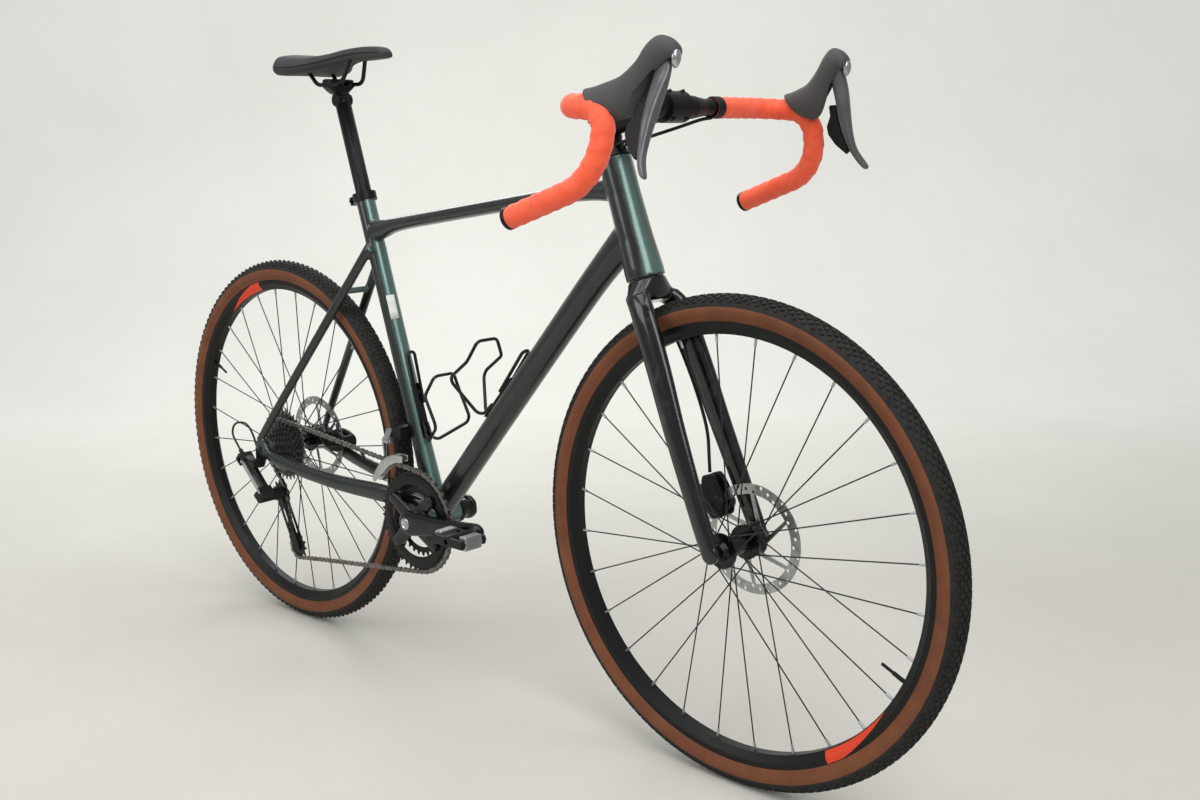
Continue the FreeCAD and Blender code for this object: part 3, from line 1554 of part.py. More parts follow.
def inner_link():
    outer = chain_inner_half + chain_inner_plate
    body = chain_plate(chain_inner_half, outer).fuse(chain_plate(-chain_inner_half, -outer))
    bore = chain_pin_radius + chain_pin_gap
    for place in (ORIGIN, AHEAD * chain_pitch):
        body = body.fuse(rod(place - LEFT * outer, place + LEFT * outer, roller_radius))
        body = body.cut(rod(place - LEFT * (outer + overrun), place + LEFT * (outer + overrun), bore))
    return body


def outer_link():
    near = chain_inner_half + chain_inner_plate + chain_side_gap
    far = near + chain_outer_plate
    body = chain_plate(near, far).fuse(chain_plate(-near, -far))
    for place in (ORIGIN, AHEAD * chain_pitch):
        body = body.fuse(rod(place - LEFT * far, place + LEFT * far, chain_pin_radius))
    return body


def chain():
    models = (inner_link(), outer_link())
    solids = []
    for index, start in enumerate(rollers):
        run = (rollers[(index + 1) % chain_links] - start).normalize()
        upward = run.cross(LEFT).normalize()
        link = models[index % 2].copy()
        link.Placement = FreeCAD.Placement(start, FreeCAD.Rotation(run, upward.cross(run), upward, "XZY"))
        solids.append(link)
    return group(solids)


# Cranks, chainrings and pedals
def crank_way(side):
    """Direction of the crank arm on one side; the right arm points ahead."""
    return turn_vector(crank_angle if side < 0 else crank_angle + 180)


def pedal_centre(side):
    return bottom_bracket + crank_way(side) * crank_length


def crank_arm(side):
    inner = crank_inner_side
    outer = crank_inner_side + crank_thickness
    low = min(side * inner, side * outer)
    start = bottom_bracket + LEFT * low
    tip = pedal_centre(side) + LEFT * low
    arm = hull_plate(start, crank_boss_radius, tip, crank_tip_radius, LEFT * crank_thickness)
    arm = arm.makeFillet(crank_edge, arm.Edges)
    boss_start = shell_width / 2 + cup_flange + body_gap
    boss_end = inner + crank_edge
    boss = rod(bottom_bracket + LEFT * (side * boss_start), bottom_bracket + LEFT * (side * boss_end),
               crank_boss_radius - crank_edge)
    body = arm.fuse(boss)
    collar_start = pedal_centre(side) + LEFT * (side * outer)
    collar_end = collar_start + LEFT * (side * pedal_collar_length)
    axle_end = collar_start + LEFT * (side * pedal_axle_length)
    axle = rod(collar_start, collar_end, pedal_collar_radius)
    axle = axle.fuse(rod(collar_end, axle_end, pedal_axle_radius))
    cap_start = bottom_bracket + LEFT * (side * (outer + seat_gap))
    cap = rod(cap_start, cap_start + LEFT * (side * crank_cap_length), crank_cap_radius)
    return body, [axle, cap]


def spider():
    inner = chainring_sides[1] + chainring_half_thickness + seat_gap
    outer = chainring_sides[0] - chainring_half_thickness - seat_gap
    base = bottom_bracket - LEFT * outer
    depth = LEFT * (outer - inner)
    body = None
    for angle in spider_angles:
        tip = base + turn_vector(angle + crank_angle) * ring_bolt_circle
        arm = hull_plate(base, crank_boss_radius - crank_edge, tip, spider_half_width, depth)
        body = arm if body is None else body.fuse(arm)
    return body


def spindle(radius, end):
    return rod(bottom_bracket - LEFT * end, bottom_bracket + LEFT * end, radius)


def crank_arms():
    right, right_extras = crank_arm(-1)
    left, left_extras = crank_arm(1)
    room = spindle(spindle_radius + seat_gap, spindle_end + seat_gap)
    arms = [right.fuse(spider()).cut(room), left.cut(room), spindle(spindle_radius, spindle_end)]
    return group(arms + right_extras + left_extras)


def chainring(index):
    centre = bottom_bracket - LEFT * chainring_sides[index]
    teeth = chainring_teeth[index]
    phase = seat_phase(bottom_bracket, teeth) if index == 0 else crank_angle
    disc = toothed_disc(centre, teeth, chainring_half_thickness, phase)
    half = LEFT * chainring_half_thickness
    opening = pitch_radius(teeth) - chainring_rim_depth
    body = disc.cut(rod(centre - half * 2, centre + half * 2, opening))
    for angle in spider_angles:
        way = turn_vector(angle + crank_angle)
        inner = centre - half + way * ring_bolt_circle
        outer = centre - half + way * (opening - ring_lug_radius / 2)
        if opening > ring_bolt_circle:
            body = body.fuse(hull_plate(inner, ring_lug_radius, outer, ring_lug_radius, half * 2))
        else:
            lug = hull_plate(inner, ring_lug_radius - overrun / 2, inner - way * overrun,
                             ring_lug_radius, half * 2)
            body = body.fuse(lug)
    return body.removeSplitter()


def chainrings():
    solids = [chainring(index) for index in range(len(chainring_teeth))]
    face = chainring_sides[0] + chainring_half_thickness + seat_gap
    for angle in spider_angles:
        seat = bottom_bracket + turn_vector(angle + crank_angle) * ring_bolt_circle - LEFT * face
        solids.append(rod(seat, seat - LEFT * ring_bolt_length, ring_bolt_radius))
    return group(solids)


def bottom_bracket_cups():
    solids = []
    face = shell_width / 2
    bore = spindle_radius + running_gap
    for side in SIDES:
        barrel = shell_bore_radius - seat_gap
        outline = [(-cup_depth, bore), (-cup_depth, barrel), (seat_gap, barrel), (seat_gap, cup_radius),
                   (cup_flange, cup_radius), (cup_flange, bore)]
        solids.append(turned(outline, bottom_bracket + LEFT * (side * face), LEFT * side))
    return group(solids)


def pedal(side):
    outer = crank_inner_side + crank_thickness + pedal_collar_length + body_gap
    centre = pedal_centre(side) + LEFT * (side * (outer + pedal_half_width))
    half = LEFT * pedal_half_width
    body = rod(centre - half, centre + half, pedal_barrel_radius)
    for way in SIDES:
        low = centre + V(-pedal_half_length, way * (pedal_half_width - pedal_arm_width / 2), 0)
        arm_half = V(0, pedal_arm_width / 2, pedal_arm_half_height)
        arm = box(low - arm_half, low + AHEAD * (pedal_half_length * 2) + arm_half)
        body = body.fuse(arm.makeFillet(pedal_edge, arm.Edges))
        bar = centre + AHEAD * (way * (pedal_half_length - pedal_bar_radius))
        body = body.fuse(rod(bar - half, bar + half, pedal_bar_radius))
        jaw_at = centre + AHEAD * (way * (pedal_half_length - pedal_jaw_depth / 2))
        jaw_half = V(pedal_jaw_depth / 2, pedal_jaw_half_width, pedal_jaw_half_height)
        jaw = box(jaw_at - jaw_half, jaw_at + jaw_half)
        body = body.fuse(jaw.makeFillet(pedal_edge, jaw.Edges))
    return body.cut(rod(centre - half * 2, centre + half * 2, pedal_axle_radius + running_gap))


# Rear derailleur
def rd_pin_at(pin, spread):
    """Link pin on one side of the link pair."""
    return pin - LEFT * (rd_link_side + spread * rd_link_spread)


def rd_link(spread):
    half = rd_across * rd_link_half_height
    start = rd_pin_at(back_pin, spread) - half
    end = rd_pin_at(front_pin, spread) - half
    body = hull_plate(start, rd_link_half_thickness, end, rd_link_half_thickness, half * 2)
    for middle in (start, end):
        body = body.fuse(rod(middle, middle + half * 2, rd_eye_radius))
    for middle in (start, end):
        body = body.cut(rod(middle - half, middle + half * 3, rd_pin_radius + running_gap))
    return body


def rd_fork(pin, way):
    """Two plates about a pair of links, with their pins and the web that joins them."""
    near = rd_link_half_height + body_gap
    far = near + rd_plate
    body = None
    span = rd_link_spread + rd_plate_margin
    web_start = rd_eye_radius + rd_web_gap
    middle = pin - LEFT * rd_link_side
    for up in SIDES:
        base = middle + rd_across * (up * near)
        front = rd_along * (way * -rd_eye_radius)
        back = rd_along * (way * (web_start + rd_web))
        corners = [base - LEFT * span + front, base + LEFT * span + front,
                   base + LEFT * span + back, base - LEFT * span + back]
        plate = prism(corners, rd_across * (up * rd_plate))
        body = plate if body is None else body.fuse(plate)
    base = middle + rd_along * (way * web_start) - rd_across * far
    corners = [base - LEFT * span, base + LEFT * span, base + LEFT * span + rd_along * (way * rd_web),
               base - LEFT * span + rd_along * (way * rd_web)]
    body = body.fuse(prism(corners, rd_across * (far + far)))
    for spread in SIDES:
        place = rd_pin_at(pin, spread)
        body = body.fuse(rod(place - rd_across * far, place + rd_across * far, rd_pin_radius))
    return body


def rd_upper_knuckle():
    face = dropout_half_gap + dropout_thickness + seat_gap
    start = hanger_bolt - LEFT * face
    body = rd_fork(back_pin, -1).fuse(rod(start, start - LEFT * rd_knuckle_length, rd_knuckle_radius))
    bolt = rod(hanger_bolt - LEFT * dropout_half_gap, start, hanger_bolt_radius)
    far = rd_link_half_height + body_gap
    plate_at = back_pin - rd_across * (far + rd_plate) - LEFT * (face + rd_knuckle_length)
    bolt_at = hanger_bolt - LEFT * (face + rd_knuckle_length)
    arm = hull_plate(V(plate_at.x, bolt_at.y, plate_at.z), rd_plate, bolt_at, rd_knuckle_radius - rd_plate,
                     LEFT * (rd_knuckle_length - rd_plate))
    room = rod(rear_axle - LEFT * (face + overrun), rear_axle, dropout_radius + seat_gap)
    adjuster_start = rd_pin_at(back_pin, 0) - rd_along * (rd_eye_radius + rd_web_gap + rd_web)
    adjuster = rod(adjuster_start, adjuster_start - rd_along * rd_adjuster_length, rd_adjuster_radius)
    links = [link_room(back_pin, spread) for spread in SIDES]
    body = body.fuse(arm.cut(room))
    for link in links:
        body = body.cut(link)
    return body.fuse(bolt).fuse(adjuster)


def link_room(pin, spread):
    """Room for one link's eye about its pin."""
    height = rd_across * (rd_link_half_height + body_gap)
    place = rd_pin_at(pin, spread)
    return sleeve(place - height, place + height, rd_eye_radius + body_gap, rd_pin_radius)


def rd_lower_knuckle():
    body = rd_fork(front_pin, 1)
    outer = cage_pivot - LEFT * rd_barrel_outer_side
    inner_side = -gear_side + rd_cage_half_gap + rd_cage_plate + body_gap
    inner = cage_pivot - LEFT * inner_side
    body = body.fuse(rod(outer, inner, rd_barrel_radius))
    near = rd_link_half_height + body_gap
    span = rd_link_spread + rd_plate_margin
    base = front_pin - LEFT * (rd_link_side + span) + rd_across * near - rd_along * rd_eye_radius
    width = rd_along * (rd_eye_radius + rd_eye_radius)
    height = rd_across * rd_barrel_radius
    neck = prism([base, base + width, base + width + height, base + height], LEFT * (span + span))
    body = body.fuse(neck)
    pin_end = inner - LEFT * (rd_cage_pin_length + body_gap)
    pin_room = rod(inner + LEFT * overrun, pin_end, rd_cage_pin_radius + running_gap)
    return body.cut(pin_room)


def rd_cage():
    half = rd_cage_half_gap
    solids = None
    for side in SIDES:
        low = gear_side + (half if side > 0 else -half - rd_cage_plate)
        depth = LEFT * rd_cage_plate
        shift = LEFT * (low - gear_side)
        guide = guide_centre + shift
        tension = tension_centre + shift
        plate = hull_plate(guide, rd_cage_end_radius, tension, rd_cage_end_radius, depth)
        slot_start = guide + (tension - guide) * rd_cage_slot_shares[0]
        slot_end = guide + (tension - guide) * rd_cage_slot_shares[1]
        plate = plate.cut(hull_plate(slot_start, rd_cage_slot_half, slot_end, rd_cage_slot_half, depth))
        if side < 0:
            pivot = cage_pivot + LEFT * low
            plate = plate.fuse(hull_plate(pivot, rd_cage_pivot_radius, guide, rd_cage_end_radius, depth))
            plate = plate.fuse(rod(pivot, pivot - LEFT * rd_cage_pin_length, rd_cage_pin_radius))
        solids = plate if solids is None else solids.fuse(plate)
    for centre in (guide_centre, tension_centre):
        reach = LEFT * (half + rd_cage_plate)
        solids = solids.fuse(rod(centre - reach, centre + reach, pulley_bolt_radius))
    return solids


def pulley(centre):
    disc = toothed_disc(centre, pulley_teeth, pulley_half_thickness, seat_phase(centre, pulley_teeth))
    hub_half = LEFT * pulley_hub_half
    body = disc.fuse(rod(centre - hub_half, centre + hub_half, pulley_hub_radius))
    return body.cut(rod(centre - hub_half * 2, centre + hub_half * 2, pulley_bolt_radius + running_gap))


# Front derailleur
fd_pivot = bottom_bracket + V(-fd_pivot_back, -fd_pivot_side, fd_pivot_rise)
fd_cage_pin = bottom_bracket + V(-fd_pivot_back, -fd_cage_pin_side, fd_cage_pin_rise)


def fd_mount():
    start = fd_pivot + AHEAD * (fd_link_length_ahead + body_gap)
    block_low = V(start.x, -fd_block_outer_side, start.z - fd_block_half_height)
    block_high = V(start.x + fd_block_length, -fd_block_inner_side, start.z + fd_block_half_height)
    body = box(block_low, block_high)
    body = body.cut(rod(seat_point(0), seat_point(seat_tube_length), seat_tube_radius + seat_gap))
    pin_start = fd_pivot - AHEAD * body_gap
    return body.fuse(rod(pin_start, start + AHEAD * overrun, fd_pin_radius))


def fd_link():
    depth = AHEAD * (fd_link_length_ahead - body_gap)
    body = hull_plate(fd_pivot, fd_eye_radius, fd_cage_pin, fd_eye_radius, depth)
    for place in (fd_pivot, fd_cage_pin):
        body = body.cut(rod(place - depth, place + depth * 2, fd_pin_radius + running_gap))
    return body


def fd_cage():
    middle = -chainring_sides[0]
    body = None
    for side in SIDES:
        low = middle + (fd_cage_half_gap if side > 0 else -fd_cage_half_gap - fd_cage_plate)
        points = [bottom_bracket + V(ahead, low, rise) for ahead, rise in fd_outline]
        plate = prism(points, LEFT * fd_cage_plate)
        body = plate if body is None else body.fuse(plate)
    side_low = bottom_bracket + LEFT * (middle - fd_cage_half_gap - fd_cage_plate)
    side_depth = LEFT * (fd_cage_half_gap + fd_cage_plate) * 2
    for first, second in ((fd_outline[2], fd_outline[3]), (fd_outline[5], fd_outline[6])):
        start = side_low + V(first[0], 0, first[1])
        end = side_low + V(second[0], 0, second[1])
        inward = (end - start).cross(LEFT).normalize() * fd_bridge
        body = body.fuse(prism([start, end, end + inward, start + inward], side_depth))
    lug_low = fd_cage_pin - AHEAD * (fd_lug_thickness + body_gap)
    low = V(lug_low.x, middle + fd_cage_half_gap, bottom_bracket.z + fd_lug_rise)
    high = fd_cage_pin + V(-body_gap, fd_lug_half_height, fd_lug_half_height)
    body = body.fuse(box(low, high))
    return body.fuse(rod(lug_low, fd_cage_pin + AHEAD * (fd_link_length_ahead - body_gap * 2), fd_pin_radius))


# Bottle cages
def cage_wire(points):
    """Bent wire whose bends are no larger than its runs allow."""
    bends = []
    for before, corner, after in zip(points, points[1:], points[2:]):
        back = before - corner
        on = after - corner
        room = cage_run_share * min(back.Length, on.Length) * math.tan(back.getAngle(on) / 2)
        bends.append(min(cage_bend, room))
    return bent_rod(points, bends, cage_wire_radius)


def bottle_cage(seat, along, away):
    """Wire cage on a tube: seat is the plate's foot, along runs up the tube, away points off it."""
    half_width = LEFT * cage_plate_half_width
    top = seat + along * cage_plate_length
    corners = [seat - half_width, seat + half_width, top + half_width, top - half_width]
    body = prism(corners, away * cage_plate_thickness)
    near = []
    far = []
    for height, reach, spread in cage_wire_shares:
        middle = seat + along * (height * cage_height) + away * (cage_wire_lift + reach * cage_reach)
        near.append(middle + LEFT * (spread * cage_half_spread))
        far.insert(0, middle - LEFT * (spread * cage_half_spread))
    body = body.fuse(cage_wire(near + far))
    tab_foot = seat + along * cage_tab_start + away * cage_wire_lift
    tab_top = seat + along * cage_tab_height + away * (cage_wire_lift + cage_tab_lift)
    tab_half = LEFT * cage_tab_half_width
    tab = [tab_foot + tab_half, tab_top + tab_half, tab_top - tab_half, tab_foot - tab_half]
    body = body.fuse(cage_wire(tab))
    bolts = []
    for way in SIDES:
        place = seat + along * (cage_plate_length / 2 + way * cage_bolt_spacing / 2)
        shank = rod(place - away * overrun, place + away * overrun, cage_bolt_radius + seat_gap)
        head_seat = place + away * cage_plate_thickness
        head_room = rod(head_seat, head_seat + away * cage_reach, cage_bolt_head_radius + seat_gap)
        body = body.cut(shank).cut(head_room)
        head = place + away * (cage_plate_thickness + seat_gap)
        bolt_head = rod(head, head + away * cage_bolt_head, cage_bolt_head_radius)
        bolts.append(rod(place, head, cage_bolt_radius).fuse(bolt_head))
    return [body] + bolts


def bottle_cages():
    solids = bottle_cage(seat_point(seat_cage_along, seat_tube_radius + seat_gap), seat_direction, seat_ahead)
    start, end = down_tube_ends()
    along = (end - start).normalize()
    away = along.cross(LEFT).normalize()
    lift = down_tube_half_heights[1] - down_tube_falls[1] + cage_tube_lift
    foot = start + along * down_cage_along + away * lift
    return group(solids + bottle_cage(foot, along, away))


# Cables and hoses
def frame_cables():
    shift = [rear_axle + V(*point) for point in shift_route]
    hose = [rear_axle + V(*point) for point in rear_hose_route]
    housing = cord("shift housing", shift, housing_radius).cut(chainstay(-1))
    rear_hose = cord("rear hose", hose, hose_radius).cut(chainstay(1)).cut(rear_caliper())
    return group(largest_first(housing) + largest_first(rear_hose))


def steering_hoses():
    front = [steer_point(along, ahead, side) for ahead, side, along in front_hose_route]
    solids = [cord("front hose", front, hose_radius)]
    for way in SIDES:
        points = [bar_centre + V(ahead, way * side, rise) for ahead, side, rise in bar_hose_route]
        solids.append(cord("bar hose", points, hose_radius))
    return group(solids)


front_spoke_set = spokes(front_axle, front_left_flange, front_right_flange)
rear_spoke_set = spokes(rear_axle, rear_left_flange, rear_right_flange)

pieces = {
    "head_tube": head_tube,
    "top_tube": top_tube,
    "down_tube": down_tube,
    "seat_tube": seat_tube,
    "chainstays": chainstays,
    "seatstays": seatstays,
    "derailleur_hanger": derailleur_hanger,
    "seat_clamp": seat_clamp,
    "bottle_cages": bottle_cages,
    "bottom_bracket_cups": bottom_bracket_cups,
    "headset_bearings": headset_bearings,
    "fd_mount": fd_mount,
    "fd_link": fd_link,
    "fd_cage": fd_cage,
    "rear_caliper": rear_caliper,
    "rear_axle": rear_axle_pin,
    "frame_cables": frame_cables,
    "rd_upper_knuckle": rd_upper_knuckle,
    "rd_outer_link": lambda: rd_link(1),
    "rd_inner_link": lambda: rd_link(-1),
    "rd_lower_knuckle": rd_lower_knuckle,
    "rd_cage": rd_cage,
    "guide_pulley": lambda: pulley(guide_centre),
    "tension_pulley": lambda: pulley(tension_centre),
    "chain": chain,
    "cassette": cassette,
    "chainrings": chainrings,
    "crank_arms": crank_arms,
    "right_pedal": lambda: pedal(-1),
    "left_pedal": lambda: pedal(1),
    "fork": fork,
    "headset_cover": headset_cover,
    "stem": stem,
    "handlebar": handlebar,
    "bar_tape": bar_tape,
    "lever_hoods": lever_hoods,
    "right_brake_lever": lambda: brake_lever(-1),
    "left_brake_lever": lambda: brake_lever(1),
    "right_shift_paddle": lambda: shift_paddle(-1),
    "left_shift_paddle": lambda: shift_paddle(1),
    "front_caliper": front_caliper,
    "front_axle": front_axle_pin,
    "steering_hoses": steering_hoses,
    "front_inner_pad": lambda: front_pad(-1),
    "front_outer_pad": lambda: front_pad(1),
    "rear_inner_pad": lambda: rear_pad(-1),
    "rear_outer_pad": lambda: rear_pad(1),
    "front_hub": lambda: hub(front_axle, front_hub_end, front_hub_end, front_left_flange, front_right_flange,
                             front_rotor_side, front_spoke_set),
    "front_spokes": lambda: front_spoke_set,
    "front_rim": lambda: rim(front_axle, front_valve_angle, front_spoke_set),
    "front_tyre": lambda: tyre(front_axle),
    "front_rotor": lambda: rotor(front_axle, front_rotor_side),
    "rear_hub": lambda: hub(rear_axle, rear_hub_end, rear_hub_shell_end, rear_left_flange, rear_right_flange,
                            rear_rotor_side, rear_spoke_set),
    "rear_spokes": lambda: rear_spoke_set,
    "rear_rim": lambda: rim(rear_axle, rear_valve_angle, rear_spoke_set),
    "rear_tyre": lambda: tyre(rear_axle),
    "rear_rotor": lambda: rotor(rear_axle, rear_rotor_side),
    "seatpost": seatpost,
    "saddle_rails": saddle_rails,
    "saddle": saddle,
}

os.makedirs("parts", exist_ok=True)
for name, build in pieces.items():
    build().exportStep("parts/" + name + ".step")
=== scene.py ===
"""Dress the packed gravel bicycle in its finishes and set it in a plain studio."""
import logging
import math
from dataclasses import dataclass, field
from enum import Enum
from typing import Callable, Optional, Sequence

import bmesh
import bpy
from mathutils import Matrix, Vector


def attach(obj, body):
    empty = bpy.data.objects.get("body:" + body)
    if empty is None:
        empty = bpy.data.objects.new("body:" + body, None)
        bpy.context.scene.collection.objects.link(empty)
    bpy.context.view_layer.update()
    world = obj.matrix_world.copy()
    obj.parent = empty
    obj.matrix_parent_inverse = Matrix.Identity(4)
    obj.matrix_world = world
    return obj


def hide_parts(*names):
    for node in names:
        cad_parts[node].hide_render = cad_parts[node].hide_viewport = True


LOG = logging.getLogger("gravel_bike")
Colour = tuple[float, float, float]
FRONT_AXLE = Vector((0.532, 0.0, 0.351))
REAR_AXLE = Vector((-0.532, 0.0, 0.351))
BOTTOM_BRACKET = Vector((-0.1079, 0.0, 0.280))
SEAT_UP = Vector((-0.28402, 0.0, 0.95882))
SEAT_AHEAD = Vector((0.95882, 0.0, 0.28402))
STEER_FOOT = Vector((0.49881, 0.0, 0.33989))
STEER_UP = Vector((-0.3173, 0.0, 0.94832))
STEER_AHEAD = Vector((0.94832, 0.0, 0.3173))
BAR_CENTRE = Vector((0.42365, 0.0, 0.94902))
LEFT = Vector((0.0, 1.0, 0.0))
AHEAD = Vector((1.0, 0.0, 0.0))
UP = Vector((0.0, 0.0, 1.0))
CAMERA_YAW = math.radians(133.02)
Socket = bpy.types.NodeSocket
Rings = list[list[Vector]]


def srgb(red: int, green: int, blue: int) -> Colour:
    """Turn a colour as seen on a screen into the light values a shader wants.

    Args:
        red: Red from 0 to 255.
        green: Green from 0 to 255.
        blue: Blue from 0 to 255.

    Returns:
        The three linear light values.
    """
    def one(value: float) -> float:
        """Linear light of one channel."""
        share = value / 255.0
        return share / 12.92 if share <= 0.04045 else ((share + 0.055) / 1.055) ** 2.4

    return one(red), one(green), one(blue)


class Side(Enum):
    """The rider's two sides, as the sign of the sideways axis."""

    LEFT = 1
    RIGHT = -1

    @property
    def word(self) -> str:
        """Lower-case name used in piece names."""
        return self.name.lower()


class Graph:
    """Node graph of one material, with short calls for the nodes that the finishes use."""

    def __init__(self, name: str) -> None:
        """Start a material with one principled shader.

        Args:
            name: Name of the material.
        """
        self.material = bpy.data.materials.new(name)
        self.material.use_nodes = True
        self.tree = self.material.node_tree
        self.shader = next(n for n in self.tree.nodes if n.type == "BSDF_PRINCIPLED")
        self.place = self.node("ShaderNodeTexCoord").outputs["Object"]

    def node(self, kind: str, **settings: object) -> bpy.types.Node:
        """Add a node and set its plain properties.

        Args:
            kind: Blender's name for the node type.
            settings: Properties set on the node.

        Returns:
            The new node.
        """
        made = self.tree.nodes.new(kind)
        for key, value in settings.items():
            setattr(made, key, value)
        return made

    def feed(self, socket: Socket, value: object) -> None:
        """Link a socket to another one, or set it to a plain value.

        Args:
            socket: Socket to fill.
            value: Another socket, or a plain value.
        """
        if isinstance(value, Socket):
            self.tree.links.new(value, socket)
        elif isinstance(value, tuple) and len(value) == 3 and socket.type == "RGBA":
            socket.default_value = (*value, 1.0)
        else:
            socket.default_value = value

    def set(self, socket: str, value: object) -> None:
        """Set or link one socket of the principled shader."""
        self.feed(self.shader.inputs[socket], value)

    def noise(self, scale: float, detail: float = 4.0, roughness: float = 0.55,
              place: Optional[Socket] = None) -> Socket:
        """Add cloudy noise.

        Args:
            scale: Waves per metre.
            detail: Octaves of finer noise.
            roughness: Strength of the finer octaves.
            place: Coordinates, or the object's own.

        Returns:
            The noise value from 0 to 1.
        """
        made = self.node("ShaderNodeTexNoise")
        self.feed(made.inputs["Vector"], place or self.place)
        self.feed(made.inputs["Scale"], scale)
        self.feed(made.inputs["Detail"], detail)
        self.feed(made.inputs["Roughness"], roughness)
        return made.outputs["Fac"]

    def cells(self, scale: float, output: str = "Distance",
              place: Optional[Socket] = None) -> Socket:
        """Add round cells and return one output, such as the distance from each cell's middle.

        Args:
            scale: Scale of the pattern.
            output: Name of the output to use.
            place: Coordinates, or the object's own.

        Returns:
            The chosen output.
        """
        made = self.node("ShaderNodeTexVoronoi")
        self.feed(made.inputs["Vector"], place or self.place)
        self.feed(made.inputs["Scale"], scale)
        return made.outputs[output]

    def stretched(self, scale: Colour) -> Socket:
        """Return the object's coordinates scaled along each axis.

        Args:
            scale: Scale along each axis.

        Returns:
            The scaled coordinates.
        """
        made = self.node("ShaderNodeMapping")
        self.feed(made.inputs["Vector"], self.place)
        made.inputs["Scale"].default_value = scale
        return made.outputs["Vector"]

    def math(self, how: str, first: object, second: object = 0.0) -> Socket:
        """Combine two values with one arithmetic step.

        Args:
            how: Blender's name for the operation.
            first: First value or socket.
            second: Second value or socket.

        Returns:
            The result.
        """
        made = self.node("ShaderNodeMath", operation=how)
        self.feed(made.inputs[0], first)
        self.feed(made.inputs[1], second)
        return made.outputs[0]

    def ramp(self, value: Socket, low: float, high: float,
             start: float = 0.0, end: float = 1.0) -> Socket:
        """Map a range of a value onto another range, held at both ends.

        Args:
            value: Value that is mapped.
            low: Value that gives start.
            high: Value that gives end.
            start: Result at low.
            end: Result at high.

        Returns:
            The mapped value.
        """
        made = self.node("ShaderNodeMapRange")
        self.feed(made.inputs["Value"], value)
        for name, number in (("From Min", low), ("From Max", high), ("To Min", start), ("To Max", end)):
            made.inputs[name].default_value = number
        return made.outputs["Result"]

    def mix(self, share: object, first: object, second: object) -> Socket:
        """Mix two colours.

        Args:
            share: Share of the second colour.
            first: First colour or socket.
            second: Second colour or socket.

        Returns:
            The mixed colour.
        """
        made = self.node("ShaderNodeMix", data_type="RGBA")
        self.feed(made.inputs[0], share)
        self.feed(made.inputs[6], first)
        self.feed(made.inputs[7], second)
        return made.outputs[2]

    def bump(self, height: Socket, depth: float) -> Socket:
        """Turn a height into a bumped normal.

        Args:
            height: Height from 0 to 1.
            depth: Depth of the relief in metres.

        Returns:
            The bumped normal.
        """
        made = self.node("ShaderNodeBump")
        self.feed(made.inputs["Height"], height)
        made.inputs["Distance"].default_value = depth
        made.inputs["Strength"].default_value = 1.0
        return made.outputs["Normal"]

    def split(self, vector: Socket) -> Sequence[Socket]:
        """Return the three parts of a vector.

        Args:
            vector: Vector to take apart.

        Returns:
            The parts along x, y and z.
        """
        made = self.node("ShaderNodeSeparateXYZ")
        self.feed(made.inputs[0], vector)
        return made.outputs

    def around(self, centre: Vector) -> tuple[Socket, Socket]:
        """Measure distance and turn about a sideways axle.

        Args:
            centre: A point on the axle.

        Returns:
            Distance from the axle in metres and the angle above straight ahead in radians.
        """
        x, _, z = self.split(self.place)
        ahead = self.math("SUBTRACT", x, centre.x)
        rise = self.math("SUBTRACT", z, centre.z)
        square = self.math("ADD", self.math("MULTIPLY", ahead, ahead), self.math("MULTIPLY", rise, rise))
        return self.math("SQRT", square), self.math("ARCTAN2", rise, ahead)


@dataclass(frozen=True)
class Finish:
    """A plain finish with cloudy colour, uneven gloss and fine relief."""

    name: str
    dark: Colour
    light: Colour
    rough: tuple[float, float]
    metallic: float = 0.0
    cloud: float = 45.0
    grain: float = 900.0
    relief: float = 0.00006
    coat: float = 0.0
    coat_rough: float = 0.08
    stretch: Colour = (1.0, 1.0, 1.0)
    shine: float = 0.3

    def colour(self, graph: Graph) -> Socket:
        """Return the colour socket of the finish."""
        return graph.mix(graph.ramp(graph.noise(self.cloud), 0.3, 0.72), self.dark, self.light)

    def cloudy(self, graph: Graph) -> Socket:
        """Return the dark and the light tone mixed by cloudy noise."""
        return graph.mix(graph.noise(self.cloud), self.dark, self.light)

    def height(self, graph: Graph) -> Socket:
        """Return the relief of the finish from 0 to 1."""
        return graph.noise(self.grain, 3.0, 0.6, graph.stretched(self.stretch))

    def dress(self, graph: Graph) -> None:
        """Fill the shader's sockets.

        Args:
            graph: Graph of the material.
        """
        relief = self.height(graph)
        graph.set("Base Color", self.colour(graph))
        graph.set("Roughness", graph.ramp(graph.math("ADD", graph.noise(self.cloud * 2.3), relief), 0.6, 1.4,
                                          self.rough[0], self.rough[1]))
        graph.set("Metallic", self.metallic)
        graph.set("Normal", graph.bump(relief, self.relief))
        graph.set("Specular IOR Level", self.shine)
        graph.set("Coat Weight", self.coat)
        graph.set("Coat Roughness", self.coat_rough)

    def material(self) -> bpy.types.Material:
        """Return the material, made once for each finish.

        Returns:
            The material.
        """
        found = bpy.data.materials.get(self.name)
        if found:
            return found
        graph = Graph(self.name)
        self.dress(graph)
        return graph.material


